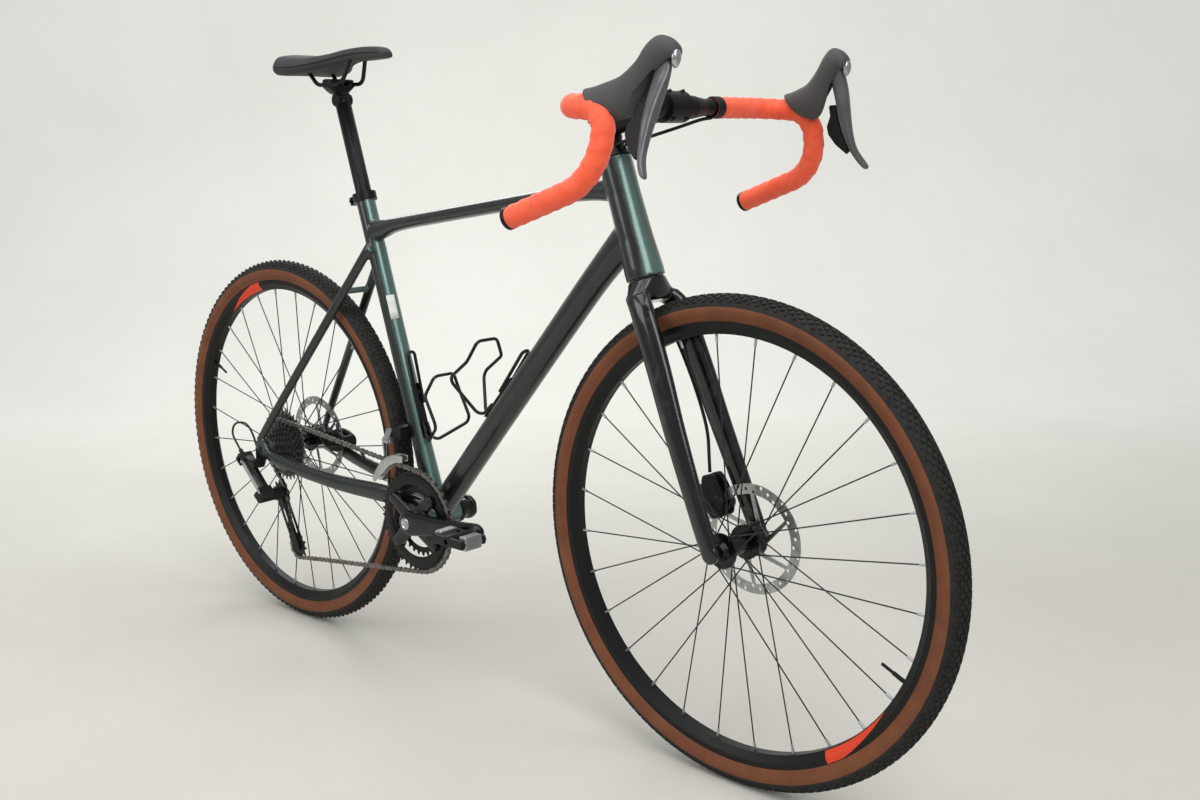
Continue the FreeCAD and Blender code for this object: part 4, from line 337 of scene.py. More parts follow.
@dataclass(frozen=True)
class FramePaint(Finish):
    """Metallic anthracite lacquer with a painted petrol highlight on faces that look ahead, where the light falls."""

    # petrol colour of the painted highlight on faces that look ahead
    petrol_highlight: Colour = srgb(90, 118, 112)
    fleck: float = 2600.0
    fleck_tone: Colour = srgb(150, 164, 160)

    def colour(self, graph: Graph) -> Socket:
        """Return anthracite with a painted petrol highlight on faces that look ahead and not down, with metal flecks.

        Args:
            graph: Nodes of the material.

        Returns:
            Socket with the colour.
        """
        ahead, _, rise = graph.split(graph.node("ShaderNodeNewGeometry").outputs["Normal"])
        # painted highlight: petrol on faces that look ahead, where the light falls, kept off faces that look down
        drift = graph.ramp(graph.noise(self.cloud), 0.3, 0.7, -0.08, 0.08)
        highlight_facing = graph.ramp(graph.math("ADD", ahead, drift), 0.5, 0.76)
        share = graph.math("MULTIPLY", highlight_facing, graph.ramp(rise, -0.35, -0.05))
        base = graph.mix(share, self.cloudy(graph), self.petrol_highlight)
        fleck = graph.ramp(graph.cells(self.fleck), 0.08, 0.3, 0.4, 0.0)
        return graph.mix(fleck, base, self.fleck_tone)


@dataclass(frozen=True)
class ForkLacquer(Finish):
    """Gloss black lacquer over marbled fibre chips."""

    chip: Colour = srgb(44, 46, 48)
    chip_scale: float = 95.0
    chip_stretch: Colour = (1.0, 1.0, 0.55)
    patch_scale: float = 26.0

    def colour(self, graph: Graph) -> Socket:
        """Return black with dark grey chips of fibre.

        Args:
            graph: Nodes of the material.

        Returns:
            Socket with the colour.
        """
        tone = graph.split(graph.cells(self.chip_scale, "Color", graph.stretched(self.chip_stretch)))[0]
        patch = graph.ramp(graph.noise(self.patch_scale, 2.0), 0.45, 0.62)
        share = graph.math("MULTIPLY", graph.ramp(tone, 0.45, 0.95), patch)
        return graph.mix(share, self.cloudy(graph), self.chip)


@dataclass(frozen=True)
class RimFinish(Finish):
    """Satin black rim with one plain slanted wedge of colour on both flanks."""

    centre: Vector = FRONT_AXLE
    wedge: Colour = srgb(226, 70, 40)
    middle: float = 0.0
    half_turn: float = 0.205
    taper: float = 20.0
    inner: float = 0.2975
    outer: float = 0.3135

    def colour(self, graph: Graph) -> Socket:
        """Return the black rim with its wedge.

        Args:
            graph: Nodes of the material.

        Returns:
            Socket with the colour.
        """
        reach, turn = graph.around(self.centre)
        off = graph.math("SUBTRACT", turn, self.middle)
        shrink = graph.math("MULTIPLY", graph.math("SUBTRACT", reach, self.inner), self.taper)
        before = graph.math("LESS_THAN", graph.math("ADD", off, shrink), self.half_turn)
        after = graph.math("GREATER_THAN", off, -self.half_turn)
        flank = graph.math("MULTIPLY", graph.math("LESS_THAN", reach, self.outer),
                           graph.math("GREATER_THAN", reach, self.inner))
        share = graph.math("MULTIPLY", graph.math("MULTIPLY", before, after), flank)
        return graph.mix(share, self.cloudy(graph), self.wedge)


@dataclass(frozen=True)
class PedalFinish(Finish):
    """Dark pedal body with bright binding jaws at both ends."""

    centre: Vector = BOTTOM_BRACKET
    jaw: Colour = srgb(172, 173, 175)
    jaw_side: float = 0.0172
    jaw_start: float = 0.0205

    def bright(self, graph: Graph) -> Socket:
        """Return 1 on the jaws and 0 elsewhere.

        Args:
            graph: Nodes of the material.

        Returns:
            Socket with the mask.
        """
        x, y, _ = graph.split(graph.place)
        along = graph.math("ABSOLUTE", graph.math("SUBTRACT", x, self.centre.x))
        across = graph.math("ABSOLUTE", graph.math("SUBTRACT", y, self.centre.y))
        return graph.math("MULTIPLY", graph.math("GREATER_THAN", along, self.jaw_start),
                          graph.math("LESS_THAN", across, self.jaw_side))

    def colour(self, graph: Graph) -> Socket:
        """Return dark metal with bright jaws."""
        return graph.mix(self.bright(graph), self.cloudy(graph), self.jaw)

    def dress(self, graph: Graph) -> None:
        """Fill the shader's sockets and make the jaws metal."""
        super().dress(graph)
        graph.set("Metallic", graph.ramp(self.bright(graph), 0.0, 1.0, self.metallic, 0.95))


@dataclass(frozen=True)
class SpokeFinish(Finish):
    """Dark steel spokes with bright nipples at the rim."""

    centre: Vector = FRONT_AXLE
    nipple: Colour = srgb(176, 178, 180)
    nipple_reach: float = 0.2838

    def colour(self, graph: Graph) -> Socket:
        """Return dark wire that turns bright where the nipples start."""
        reach, _ = graph.around(self.centre)
        return graph.mix(graph.math("GREATER_THAN", reach, self.nipple_reach), self.cloudy(graph), self.nipple)


@dataclass(frozen=True)
class RotorFinish(Finish):
    """Brushed steel disc with fine rings where the pads rub."""

    centre: Vector = FRONT_AXLE
    ring_scale: float = 3200.0
    turn_share: float = 0.004

    def height(self, graph: Graph) -> Socket:
        """Return fine rings about the axle.

        Args:
            graph: Nodes of the material.

        Returns:
            Socket with the relief.
        """
        reach, turn = graph.around(self.centre)
        join = graph.node("ShaderNodeCombineXYZ")
        graph.feed(join.inputs[0], reach)
        graph.feed(join.inputs[1], graph.math("MULTIPLY", turn, self.turn_share))
        return graph.noise(self.ring_scale, 2.0, 0.5, join.outputs[0])


@dataclass(frozen=True)
class SidewallFinish(Finish):
    """Tan tyre flank with fine cloth threads and a moulded line."""

    centre: Vector = FRONT_AXLE
    threads_around: float = 1400.0
    threads_out: float = 4000.0
    line_reach: float = 0.3215

    def height(self, graph: Graph) -> Socket:
        """Return crossing threads about the axle.

        Args:
            graph: Nodes of the material.

        Returns:
            Socket with the relief.
        """
        reach, turn = graph.around(self.centre)
        along = graph.math("MULTIPLY", turn, self.threads_around)
        out = graph.math("MULTIPLY", reach, self.threads_out)
        first, second = (graph.math("SINE", graph.math(how, along, out)) for how in ("ADD", "SUBTRACT"))
        off = graph.math("ABSOLUTE", graph.math("SUBTRACT", reach, self.line_reach))
        line = graph.ramp(off, 0.0004, 0.0009, 1.2, 0.0)
        return graph.math("ADD", graph.math("MULTIPLY", graph.math("ADD", first, second), 0.25), line)


@dataclass(frozen=True)
class GripFinish(Finish):
    """Soft bar wrap with small punched dots and a dry sheen."""

    dot_scale: float = 330.0
    sheen: float = 0.25
    sheen_rough: float = 0.5

    def height(self, graph: Graph) -> Socket:
        """Return punched dots with fine pores between them.

        Args:
            graph: Nodes of the material.

        Returns:
            Socket with the relief.
        """
        dots = graph.ramp(graph.cells(self.dot_scale), 0.16, 0.26)
        return graph.math("ADD", graph.math("MULTIPLY", dots, 0.7),
                          graph.math("MULTIPLY", graph.noise(self.grain), 0.3))

    def dress(self, graph: Graph) -> None:
        """Fill the shader's sockets and add a soft sheen.

        Args:
            graph: Nodes of the material.
        """
        super().dress(graph)
        graph.set("Sheen Weight", self.sheen)
        graph.set("Sheen Roughness", self.sheen_rough)


@dataclass(frozen=True)
class FloorFinish(Finish):
    """Pale concrete with a painted glow that grows towards the back wall, for the eye, for mirrors and through glass.
    """

    glow_strength: float = 0.36
    glow_start: float = 0.5
    glow_end: float = 2.3
    glow: Colour = srgb(236, 240, 238)

    def dress(self, graph: Graph) -> None:
        """Fill the shader's sockets and paint a glow on the wall that is seen.

        Args:
            graph: Nodes of the material.
        """
        super().dress(graph)
        path = graph.node("ShaderNodeLightPath").outputs
        mirrored = graph.math("ADD", path["Is Glossy Ray"], path["Is Transmission Ray"])
        seen = graph.math("ADD", path["Is Camera Ray"], mirrored)
        x, y, _ = graph.split(graph.place)
        away = graph.math("ADD", graph.math("MULTIPLY", x, math.cos(CAMERA_YAW)),
                          graph.math("MULTIPLY", y, math.sin(CAMERA_YAW)))
        # painted glow: floor and wall glow more the further they lie along the camera's heading
        wall = graph.ramp(away, self.glow_start, self.glow_end, 0.0, self.glow_strength)
        graph.set("Emission Color", self.glow)
        graph.set("Emission Strength", graph.math("MULTIPLY", graph.ramp(seen, 0.0, 1.0), wall))


@dataclass(frozen=True)
class HideFinish(Finish):
    """Grained cover with pores, as on a saddle."""

    def height(self, graph: Graph) -> Socket:
        """Return creased cells."""
        return graph.math("ADD", graph.ramp(graph.cells(self.grain), 0.1, 0.6), graph.noise(self.grain * 2.0))


PAINT = FramePaint("frame_lacquer", srgb(30, 35, 33), srgb(46, 51, 49), (0.26, 0.36), 0.5, 14.0, 1500.0, 0.000015,
                   0.6, 0.05)
FORK_LACQUER = ForkLacquer("fork_lacquer", srgb(9, 9, 10), srgb(15, 15, 16), (0.18, 0.28), 0.0, 20.0, 900.0, 0.00001,
                           0.6, 0.04)
SATIN_BLACK = Finish("satin_black_alloy", srgb(14, 14, 15), srgb(23, 23, 24), (0.34, 0.48), 0.3)
GLOSS_BLACK = Finish("gloss_black_alloy", srgb(10, 10, 11), srgb(18, 18, 19), (0.2, 0.32), 0.3, coat=0.3)
GUNMETAL = Finish("gunmetal_alloy", srgb(84, 86, 88), srgb(106, 108, 110), (0.3, 0.42), 0.45, 30.0, 1400.0, 0.00002,
                  0.3)
SILVER = Finish("polished_silver_alloy", srgb(170, 171, 173), srgb(200, 201, 203), (0.18, 0.3), 0.95, 40.0, 1300.0,
                0.00002)
STEEL = Finish("link_steel", srgb(92, 90, 86), srgb(128, 126, 122), (0.28, 0.45), 0.9, 120.0, 1500.0, 0.00003)
PLATE_STEEL = Finish("sprocket_steel", srgb(98, 97, 95), srgb(134, 133, 131), (0.3, 0.46), 0.9, 80.0, 1500.0, 0.00003)
DARK_STEEL = Finish("dark_steel", srgb(38, 37, 36), srgb(54, 53, 52), (0.35, 0.5), 0.8)
BLACK_PLASTIC = Finish("moulded_black", srgb(13, 13, 14), srgb(21, 21, 22), (0.45, 0.6), 0.0, 60.0, 1600.0, 0.00005)
HOSE_BLACK = Finish("hose_black", srgb(16, 16, 17), srgb(26, 26, 27), (0.35, 0.5), 0.0, 80.0, 1200.0, 0.00004)
HOOD_RUBBER = HideFinish("hood_rubber", srgb(11, 11, 11), srgb(18, 18, 17), (0.6, 0.75), 0.0, 40.0, 700.0,
                         0.00004, shine=0.14)
TREAD = Finish("tread_rubber", srgb(24, 24, 22), srgb(42, 41, 39), (0.62, 0.8), 0.0, 70.0, 1200.0, 0.00012)
GRIP = GripFinish("bar_wrap_orange", srgb(249, 88, 52), srgb(255, 108, 74), (0.55, 0.72), 0.0, 60.0, 1500.0, 0.00022)
COVER = HideFinish("saddle_cover", srgb(14, 14, 14), srgb(22, 22, 22), (0.42, 0.58), 0.0, 30.0, 900.0, 0.00004,
                   shine=0.2)
LABEL = Finish("bare_white_label", srgb(222, 222, 218), srgb(236, 236, 233), (0.4, 0.5), 0.0, 60.0, 900.0, 0.00002)
BAND = Finish("cloth_band", srgb(18, 18, 18), srgb(28, 28, 28), (0.5, 0.65), 0.0, 80.0, 1400.0, 0.00006)
FLOOR = FloorFinish("pale_concrete", srgb(202, 200, 192), srgb(210, 208, 201), (0.6, 0.78), 0.0, 1.7, 60.0, 0.0003)
RIGHT_PEDAL = PedalFinish("right_pedal_metal", srgb(30, 30, 31), srgb(44, 44, 45), (0.3, 0.45), 0.5,
                          centre=Vector((0.06394, -0.1045, 0.29503)))
LEFT_PEDAL = PedalFinish("left_pedal_metal", srgb(30, 30, 31), srgb(44, 44, 45), (0.3, 0.45), 0.5,
                         centre=Vector((-0.27975, 0.1045, 0.26497)))


class Piece:
    """Helpers that turn points into riding, finished mesh pieces."""

    ring_points: int = 40
    square_points: int = 36

    @staticmethod
    def mesh(name: str, points: Sequence[Vector], faces: Sequence[Sequence[int]],
             smooth: bool = True) -> bpy.types.Object:
        """Make a mesh object.

        Args:
            name: Name of the object.
            points: Corner places in metres.
            faces: Corner numbers of each face.
            smooth: Whether the faces shade smoothly.

        Returns:
            The object, linked to the scene.
        """
        data = bpy.data.meshes.new(name)
        data.from_pydata([tuple(point) for point in points], [], [tuple(face) for face in faces])
        data.validate()
        shell = bmesh.new()
        shell.from_mesh(data)
        bmesh.ops.recalc_face_normals(shell, faces=shell.faces)
        shell.to_mesh(data)
        shell.free()
        data.polygons.foreach_set("use_smooth", [smooth] * len(data.polygons))
        made = bpy.data.objects.new(name, data)
        bpy.context.scene.collection.objects.link(made)
        return made

    @staticmethod
    def finish(piece: bpy.types.Object, body: str, slot: str, finish: Finish, *nodes: str) -> bpy.types.Object:
        """Give a piece its body and material and hide the nodes that it stands for.

        Args:
            piece: The piece.
            body: Body that it rides on.
            slot: Not used.
            finish: Its finish.
            nodes: Nodes that it replaces.

        Returns:
            The same piece.
        """
        if not piece.data.materials:
            piece.data.materials.append(finish.material())
        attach(piece, body)
        if nodes:
            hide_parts(*nodes)
        LOG.info("piece %s on %s", piece.name, body)
        return piece

    @staticmethod
    def skin(rings: Sequence[Sequence[Vector]], closed: bool = False) -> tuple[list[Vector], list[list[int]]]:
        """Join rings of points into a closed skin.

        Args:
            rings: Rings with equal counts of points.
            closed: Whether the last ring joins the first.

        Returns:
            Points and faces.
        """
        count = len(rings[0])
        points = [point for ring in rings for point in ring]
        faces: list[list[int]] = []
        for row in range(len(rings) if closed else len(rings) - 1):
            near = row * count
            far = ((row + 1) % len(rings)) * count
            for column in range(count):
                after = (column + 1) % count
                faces.append([near + column, near + after, far + after, far + column])
        if not closed:
            faces.append(list(range(count)))
            faces.append([len(points) - count + column for column in range(count)])
        return points, faces

    @staticmethod
    def through(values: Sequence[Vector], share: float) -> Vector:
        """Read a smooth line through a row of places.

        Args:
            values: Places in order.
            share: Place along the row from 0 to 1.

        Returns:
            The point on the line.
        """
        place = min(max(share, 0.0), 1.0) * (len(values) - 1)
        index = min(int(place), len(values) - 2)
        part = place - index
        before = values[max(index - 1, 0)]
        first = values[index]
        second = values[index + 1]
        after = values[min(index + 2, len(values) - 1)]
        return 0.5 * ((2.0 * first) + (second - before) * part + (2.0 * before - 5.0 * first + 4.0 * second - after)
                      * part ** 2 + (3.0 * first - before - 3.0 * second + after) * part ** 3)

    @staticmethod
    def baked(piece: bpy.types.Object) -> bpy.types.Object:
        """Put the result of a piece's modifiers into its mesh and return the piece.

        Args:
            piece: Piece to settle.

        Returns:
            The same piece.
        """
        shaped = bpy.data.meshes.new_from_object(piece.evaluated_get(bpy.context.evaluated_depsgraph_get()))
        piece.modifiers.clear()
        piece.data = shaped
        return piece

    @staticmethod
    def spline(name: str, spots: Sequence[Sequence[float]]) -> bpy.types.Object:
        """Lay one open smooth curve.

        Args:
            name: Name of the object.
            spots: Places that lead the curve.

        Returns:
            The curve, linked to the scene.
        """
        data = bpy.data.curves.new(name, "CURVE")
        data.dimensions = "3D"
        line = data.splines.new("NURBS")
        line.points.add(len(spots) - 1)
        for point, spot in zip(line.points, spots):
            point.co = (*spot, 1.0)
        line.order_u = 3
        line.use_endpoint_u = True
        line.resolution_u = 12
        made = bpy.data.objects.new(name, data)
        bpy.context.scene.collection.objects.link(made)
        return made

    @staticmethod
    def ring(middle: Vector, tall: Vector, wide: Vector, count: int, power: float = 2.0) -> list[Vector]:
        """Make one ring between an oval and a rectangle.

        Args:
            middle: Middle of the ring.
            tall: First half axis.
            wide: Second half axis.
            count: Points on the ring.
            power: 2 for an oval, more for squarer corners.

        Returns:
            The ring.
        """
        made = []
        for step in range(count):
            turn = 2 * math.pi * step / count
            high, broad = math.cos(turn), math.sin(turn)
            made.append(middle + tall * math.copysign(abs(high) ** (2 / power), high)
                        + wide * math.copysign(abs(broad) ** (2 / power), broad))
        return made

    @staticmethod
    def smooth_rings(stations: Sequence[tuple[Vector, Vector, Vector]], steps: int, count: int,
                     power: float = 2.0) -> Rings:
        """Make rings on smooth lines through stations.

        Args:
            stations: Middle and two half axes of each station.
            steps: Rings between two stations.
            count: Points on each ring.
            power: 2 for ovals, more for squarer corners.

        Returns:
            The rings.
        """
        rows = list(zip(*stations))
        total = steps * (len(stations) - 1)
        return [Piece.ring(*(Piece.through(row, step / total) for row in rows), count, power)
                for step in range(total + 1)]

    @staticmethod
    def joined(solids: Sequence[Sequence[Sequence[Vector]]]) -> tuple[list[Vector], list[list[int]]]:
        """Put the skins of several solids together.

        Args:
            solids: Rings of each solid.

        Returns:
            Points and faces.
        """
        points: list[Vector] = []
        faces: list[list[int]] = []
        for rings in solids:
            some, more = Piece.skin(rings)
            faces += [[number + len(points) for number in face] for face in more]
            points += some
        return points, faces

    @staticmethod
    def round_rings(places: Sequence[tuple[Vector, float]], axis: Vector) -> Rings:
        """Make round rings from middles and radii.

        Args:
            places: Middle and radius of each ring.
            axis: Line that the rings stand across.

        Returns:
            The rings.
        """
        first = axis.orthogonal().normalized()
        second = axis.cross(first).normalized()
        return [Piece.ring(place, first * radius, second * radius, Piece.ring_points) for place, radius in places]


@dataclass
class Studio:
    """Pale floor that sweeps up behind, soft lamps and the matched camera."""

    eye: Vector = field(default_factory=lambda: Vector((1.568, -1.381, 0.894)))
    yaw: float = CAMERA_YAW
    pitch: float = math.radians(-10.99)
    roll: float = math.radians(-1.2)
    lens: float = 38.65
    floor_half: float = 7.0
    back: float = 3.4
    sweep: float = 1.1
    height: float = 4.5
    sweep_steps: int = 12
    sink: float = 0.0002
    room: tuple[float, float, float, float] = (0.93, 0.95, 0.96, 1.0)
    room_strength: float = 0.40
    lamps: Sequence[tuple[str, Colour, Colour, float, float]] = (
        ("ceiling_lamp", (0.2, -0.3, 3.2), (0.0, 0.0, 0.4), 3.0, 62.0),
        ("key_lamp", (2.6, -1.2, 2.3), (0.1, 0.0, 0.5), 1.6, 34.0),
        ("side_lamp", (-1.2, -2.8, 1.8), (-0.1, 0.0, 0.5), 1.8, 30.0),
        ("back_lamp", (-2.2, 1.6, 2.4), (0.0, 0.0, 0.6), 1.6, 22.0))

    def camera(self) -> None:
        """Set the camera where the picture was taken from."""
        ahead = Vector((math.cos(self.pitch) * math.cos(self.yaw), math.cos(self.pitch) * math.sin(self.yaw),
                        math.sin(self.pitch)))
        right = ahead.cross(UP).normalized()
        up = right.cross(ahead)
        across = right * math.cos(self.roll) + up * math.sin(self.roll)
        upright = up * math.cos(self.roll) - right * math.sin(self.roll)
        data = bpy.data.cameras.new("studio_camera")
        data.lens = self.lens
        data.sensor_fit = "HORIZONTAL"
        data.sensor_width = 36.0
        made = bpy.data.objects.new("studio_camera", data)
        turn = Matrix((across, upright, -ahead)).transposed().to_4x4()
        made.matrix_world = Matrix.Translation(self.eye) @ turn
        bpy.context.scene.collection.objects.link(made)
        bpy.context.scene.camera = made

    def floor(self) -> None:
        """Lay the floor and its backdrop, which follow the camera's heading."""
        ahead = Vector((math.cos(self.yaw), math.sin(self.yaw), 0))
        across = Vector((-ahead.y, ahead.x, 0))
        line = [(-self.floor_half, 0.0), (self.back - self.sweep, 0.0)]
        for step in range(1, self.sweep_steps + 1):
            turn = math.pi / 2 * step / self.sweep_steps
            line.append((self.back - self.sweep + self.sweep * math.sin(turn), self.sweep * (1 - math.cos(turn))))
        line.append((self.back, self.height))
        points = []
        for along, rise in line:
            for way in (-1, 1):
                points.append(ahead * along + across * (way * self.floor_half) + UP * (rise - self.sink))
        faces = [[2 * k, 2 * k + 1, 2 * k + 3, 2 * k + 2] for k in range(len(line) - 1)]
        made = Piece.mesh("studio_floor", points, faces)
        made.data.materials.append(FLOOR.material())

    def lamp(self, name: str, place: Colour, aim: Colour, size: float, power: float) -> None:
        """Hang one soft square lamp.

        Args:
            name: Name of the lamp.
            place: Where it hangs.
            aim: The point that it looks at.
            size: Side of the square in metres.
            power: Power in watts.
        """
        data = bpy.data.lights.new(name, "AREA")
        data.size = size
        data.energy = power
        made = bpy.data.objects.new(name, data)
        made.location = place
        made.rotation_euler = (Vector(aim) - Vector(place)).to_track_quat("-Z", "Y").to_euler()
        bpy.context.scene.collection.objects.link(made)

    def light(self) -> None:
        """Light the room softly from above and from both sides."""
        scene = bpy.context.scene
        scene.view_settings.view_transform = "Standard"
        world = bpy.data.worlds.new("soft_room")
        scene.world = world
        world.use_nodes = True
        shade = next(n for n in world.node_tree.nodes if n.type == "BACKGROUND")
        shade.inputs["Color"].default_value = self.room
        shade.inputs["Strength"].default_value = self.room_strength
        for lamp in self.lamps:
            self.lamp(*lamp)

    def build(self) -> None:
        """Set camera, floor and lamps."""
        self.camera()
        self.floor()
        self.light()


@dataclass
class GrownSkin:
    """Solids grown together into one skin with smooth fillets where they meet."""

    voxel: float = 0.0019
    rounds: int = 7

    def grow(self, name: str, solids: Sequence[Sequence[Sequence[Vector]]]) -> bpy.types.Object:
        """Grow closed solids together.

        Args:
            name: Name of the piece.
            solids: Rings of each solid.

        Returns:
            The grown piece.
        """
        made = Piece.mesh(name, *Piece.joined(solids))
        remesh = made.modifiers.new("grow", "REMESH")
        remesh.mode = "VOXEL"
        remesh.voxel_size = self.voxel * 1.0
        even = made.modifiers.new("fillet", "SMOOTH")
        even.factor = 0.5
        even.iterations = self.rounds
        grown = Piece.baked(made).data
        grown.polygons.foreach_set("use_smooth", [True] * len(grown.polygons))
        return made


@dataclass
class ForkSkin(GrownSkin):
    """Lacquered fork: arched crown and two deep legs."""

    rounds: int = 16
    length: float = 0.393
    offset: float = 0.035
    tip_side: float = 0.057
    half_depth: float = 0.019
    half_width: float = 0.013
    crown_radius: float = 0.027
    crown_depth: float = 0.033
    tip_radius: float = 0.013
    tip_inner: float = 0.050
    tip_outer: float = 0.0635
    leg_shares: Sequence[Sequence[float]] = (
        (0.945, 0.06, 0.56, 1.0, 1.05), (0.865, 0.37, 0.71, 1.08, 0.95), (0.66, 0.54, 0.80, 1.07, 0.88),
        (0.45, 0.64, 0.88, 0.98, 0.80), (0.23, 0.80, 0.95, 0.88, 0.74), (0.05, 0.94, 1.0, 0.81, 0.62),
        (-0.02, 1.02, 1.0, 0.68, 0.54))
    crown_shares: Sequence[Sequence[float]] = (
        (0.0, 1.0, 1.0), (0.36, 0.92, 1.35), (0.72, 0.80, 1.72), (1.0, 0.66, 1.80))

    def place(self, along: float, ahead: float = 0.0, side: float = 0.0) -> Vector:
        """Return the point at a height along the steering line, an offset ahead and a side place."""
        return STEER_FOOT + STEER_UP * along + STEER_AHEAD * ahead + LEFT * side

    def solids(self) -> list[Rings]:
        """Return the rings of crown, legs and tips.

        Returns:
            Rings of each solid.
        """
        crown = []
        for drop, deep, wide in self.crown_shares:
            crown.append((self.place(self.length - drop * self.crown_depth), STEER_AHEAD * (deep * self.crown_radius),
                          LEFT * (wide * self.crown_radius)))
        made = [Piece.smooth_rings(crown, 6, 40)]
        for side in Side:
            leg = []
            for along, ahead, spread, deep, wide in self.leg_shares:
                middle = self.place(along * self.length, ahead * self.offset, side.value * spread * self.tip_side)
                leg.append((middle, STEER_AHEAD * (deep * self.half_depth), LEFT * (wide * self.half_width)))
            made.append(Piece.smooth_rings(leg, 10, 36))
            tip = [(FRONT_AXLE + LEFT * (side.value * place), self.tip_radius)
                   for place in (self.tip_inner, self.tip_outer)]
            made.append(Piece.round_rings(tip, LEFT))
        return made

    def build(self) -> None:
        """Grow the fork and dress it."""
        Piece.finish(self.grow("fork_skin", self.solids()), "steering", "fork_carbon", FORK_LACQUER, "fork")


@dataclass
class FrameSkin(GrownSkin):
    """Tubes of the frame grown together with smooth fillets where they meet."""

    dropout_side: float = 0.0745
    dropout_half: float = 0.0035
    dropout_radius: float = 0.017
    top_heights: Sequence[float] = (20.0, 16.0, 12.2, 11.5, 11.8, 14.5, 20.0)
    top_widths: Sequence[float] = (15.5, 16.0, 16.5, 17.0, 17.5, 18.0, 18.0)
    top_shares: Sequence[float] = (0.0, 0.06, 0.14, 0.35, 0.7, 0.9, 1.0)
    down_shares: Sequence[float] = (0.0, 0.3, 0.75, 0.9, 1.0)
    down_falls: Sequence[float] = (0.0, -3.5, -6.5, -5.0, 0.0)
    down_heights: Sequence[float] = (21.0, 21.0, 21.0, 22.5, 27.0)
    down_widths: Sequence[float] = (23.0, 22.0, 21.5, 21.5, 23.0)
    head_shares: Sequence[tuple[float, float]] = (
        (0.0, 1.0), (0.08, 1.0), (0.32, 0.9), (0.7, 0.85), (0.9, 0.86), (1.0, 0.86))
    head_start: float = 0.394
    head_length: float = 0.177
    head_radius: float = 0.0285
    top_on_seat: float = 0.521
    top_on_head: float = 0.546
    down_on_head: float = 0.463
    down_rise: float = 0.004
    seat_sections: Sequence[tuple[float, float]] = ((0.0, 0.019), (0.12584, 0.0165), (0.572, 0.0165))
    shell_half: float = 0.0365
    shell_radius: float = 0.0215
    chainstay_half_height: float = 0.0172
    chainstay_half_width: float = 0.008
    seatstay_top: float = 0.477
    seatstay_top_side: float = 0.015
    seatstay_foot_ahead: float = -0.009
    seatstay_foot_rise: float = 0.012
    seatstay_half_width: float = 0.0072
    seatstay_depths: tuple[float, float] = (0.0096, 0.0082)
    bridge_share: float = 0.79
    bridge_radius: float = 0.006
    label_rows: Sequence[float] = (0.346, 0.360, 0.374, 0.388)
    label_columns: int = 8
    label_start: float = -50.0
    label_turn: float = 52.0
    label_radius: float = 0.01675
    label_thickness: float = 0.0003
    stay_shares: Sequence[Sequence[float]] = ((0.03, 0.20, 0.30, 1.0, 1.0), (0.22, 0.38, 0.46, 1.0, 0.92),
                                              (0.53, 0.45, 0.67, 0.86, 1.0), (0.86, 0.68, 0.90, 0.74, 0.88),
                                              (0.985, 0.92, 1.0, 0.70, 0.44))

    def tube(self, start: Vector, end: Vector, shares: Sequence[float], falls: Sequence[float],
             heights: Sequence[float], widths: Sequence[float]) -> Rings:
        """Make rings of an oval tube in the centre plane.

        Args:
            start: First end of its line.
            end: Other end of its line.
            shares: Places along the line.
            falls: Drop of the middle below the line, in millimetres.
            heights: Half heights in millimetres.
            widths: Half widths in millimetres.

        Returns:
            The rings.
        """
        across = (end - start).cross(LEFT).normalized()
        stations = []
        for share, fall, tall, wide in zip(shares, falls, heights, widths):
            stations.append((start + (end - start) * share - across * (fall / 1000), across * (tall / 1000),
                             LEFT * (wide / 1000)))
        return Piece.smooth_rings(stations, 10, 40)

    def seatstay_ends(self, side: Side) -> tuple[Vector, Vector]:
        """Return the top and the foot of one seatstay.

        Args:
            side: The side.

        Returns:
            Top and foot.
        """
        top = BOTTOM_BRACKET + SEAT_UP * self.seatstay_top + LEFT * (side.value * self.seatstay_top_side)
        foot = Vector((self.seatstay_foot_ahead, side.value * self.dropout_side, self.seatstay_foot_rise))
        return top, REAR_AXLE + foot

    def stays(self, side: Side) -> list[Rings]:
        """Make rings of one chainstay, seatstay and dropout.

        Args:
            side: Which side of the bicycle.

        Returns:
            Rings of the three solids.
        """
        run = REAR_AXLE - BOTTOM_BRACKET
        way = side.value
        stations = []
        for along, rise, spread, tall, wide in self.stay_shares:
            middle = BOTTOM_BRACKET + Vector((run.x * along, way * spread * self.dropout_side, run.z * rise))
            stations.append((middle, UP * (self.chainstay_half_height * tall),
                             LEFT * (self.chainstay_half_width * wide)))
        top, foot = self.seatstay_ends(side)
        across = (top - foot).cross(LEFT).normalized()
        deep, slim = self.seatstay_depths
        wide = LEFT * self.seatstay_half_width
        upper = [(top, across * deep, wide), (top + (foot - top) * self.bridge_share, across * slim, wide),
                 (foot, across * slim, LEFT * self.dropout_half)]
        hub = REAR_AXLE + LEFT * (way * self.dropout_side)
        disc = [(hub + LEFT * (end * self.dropout_half), self.dropout_radius) for end in (-1, 1)]
        return [Piece.smooth_rings(stations, 10, 28), Piece.smooth_rings(upper, 16, 24), Piece.round_rings(disc, LEFT)]

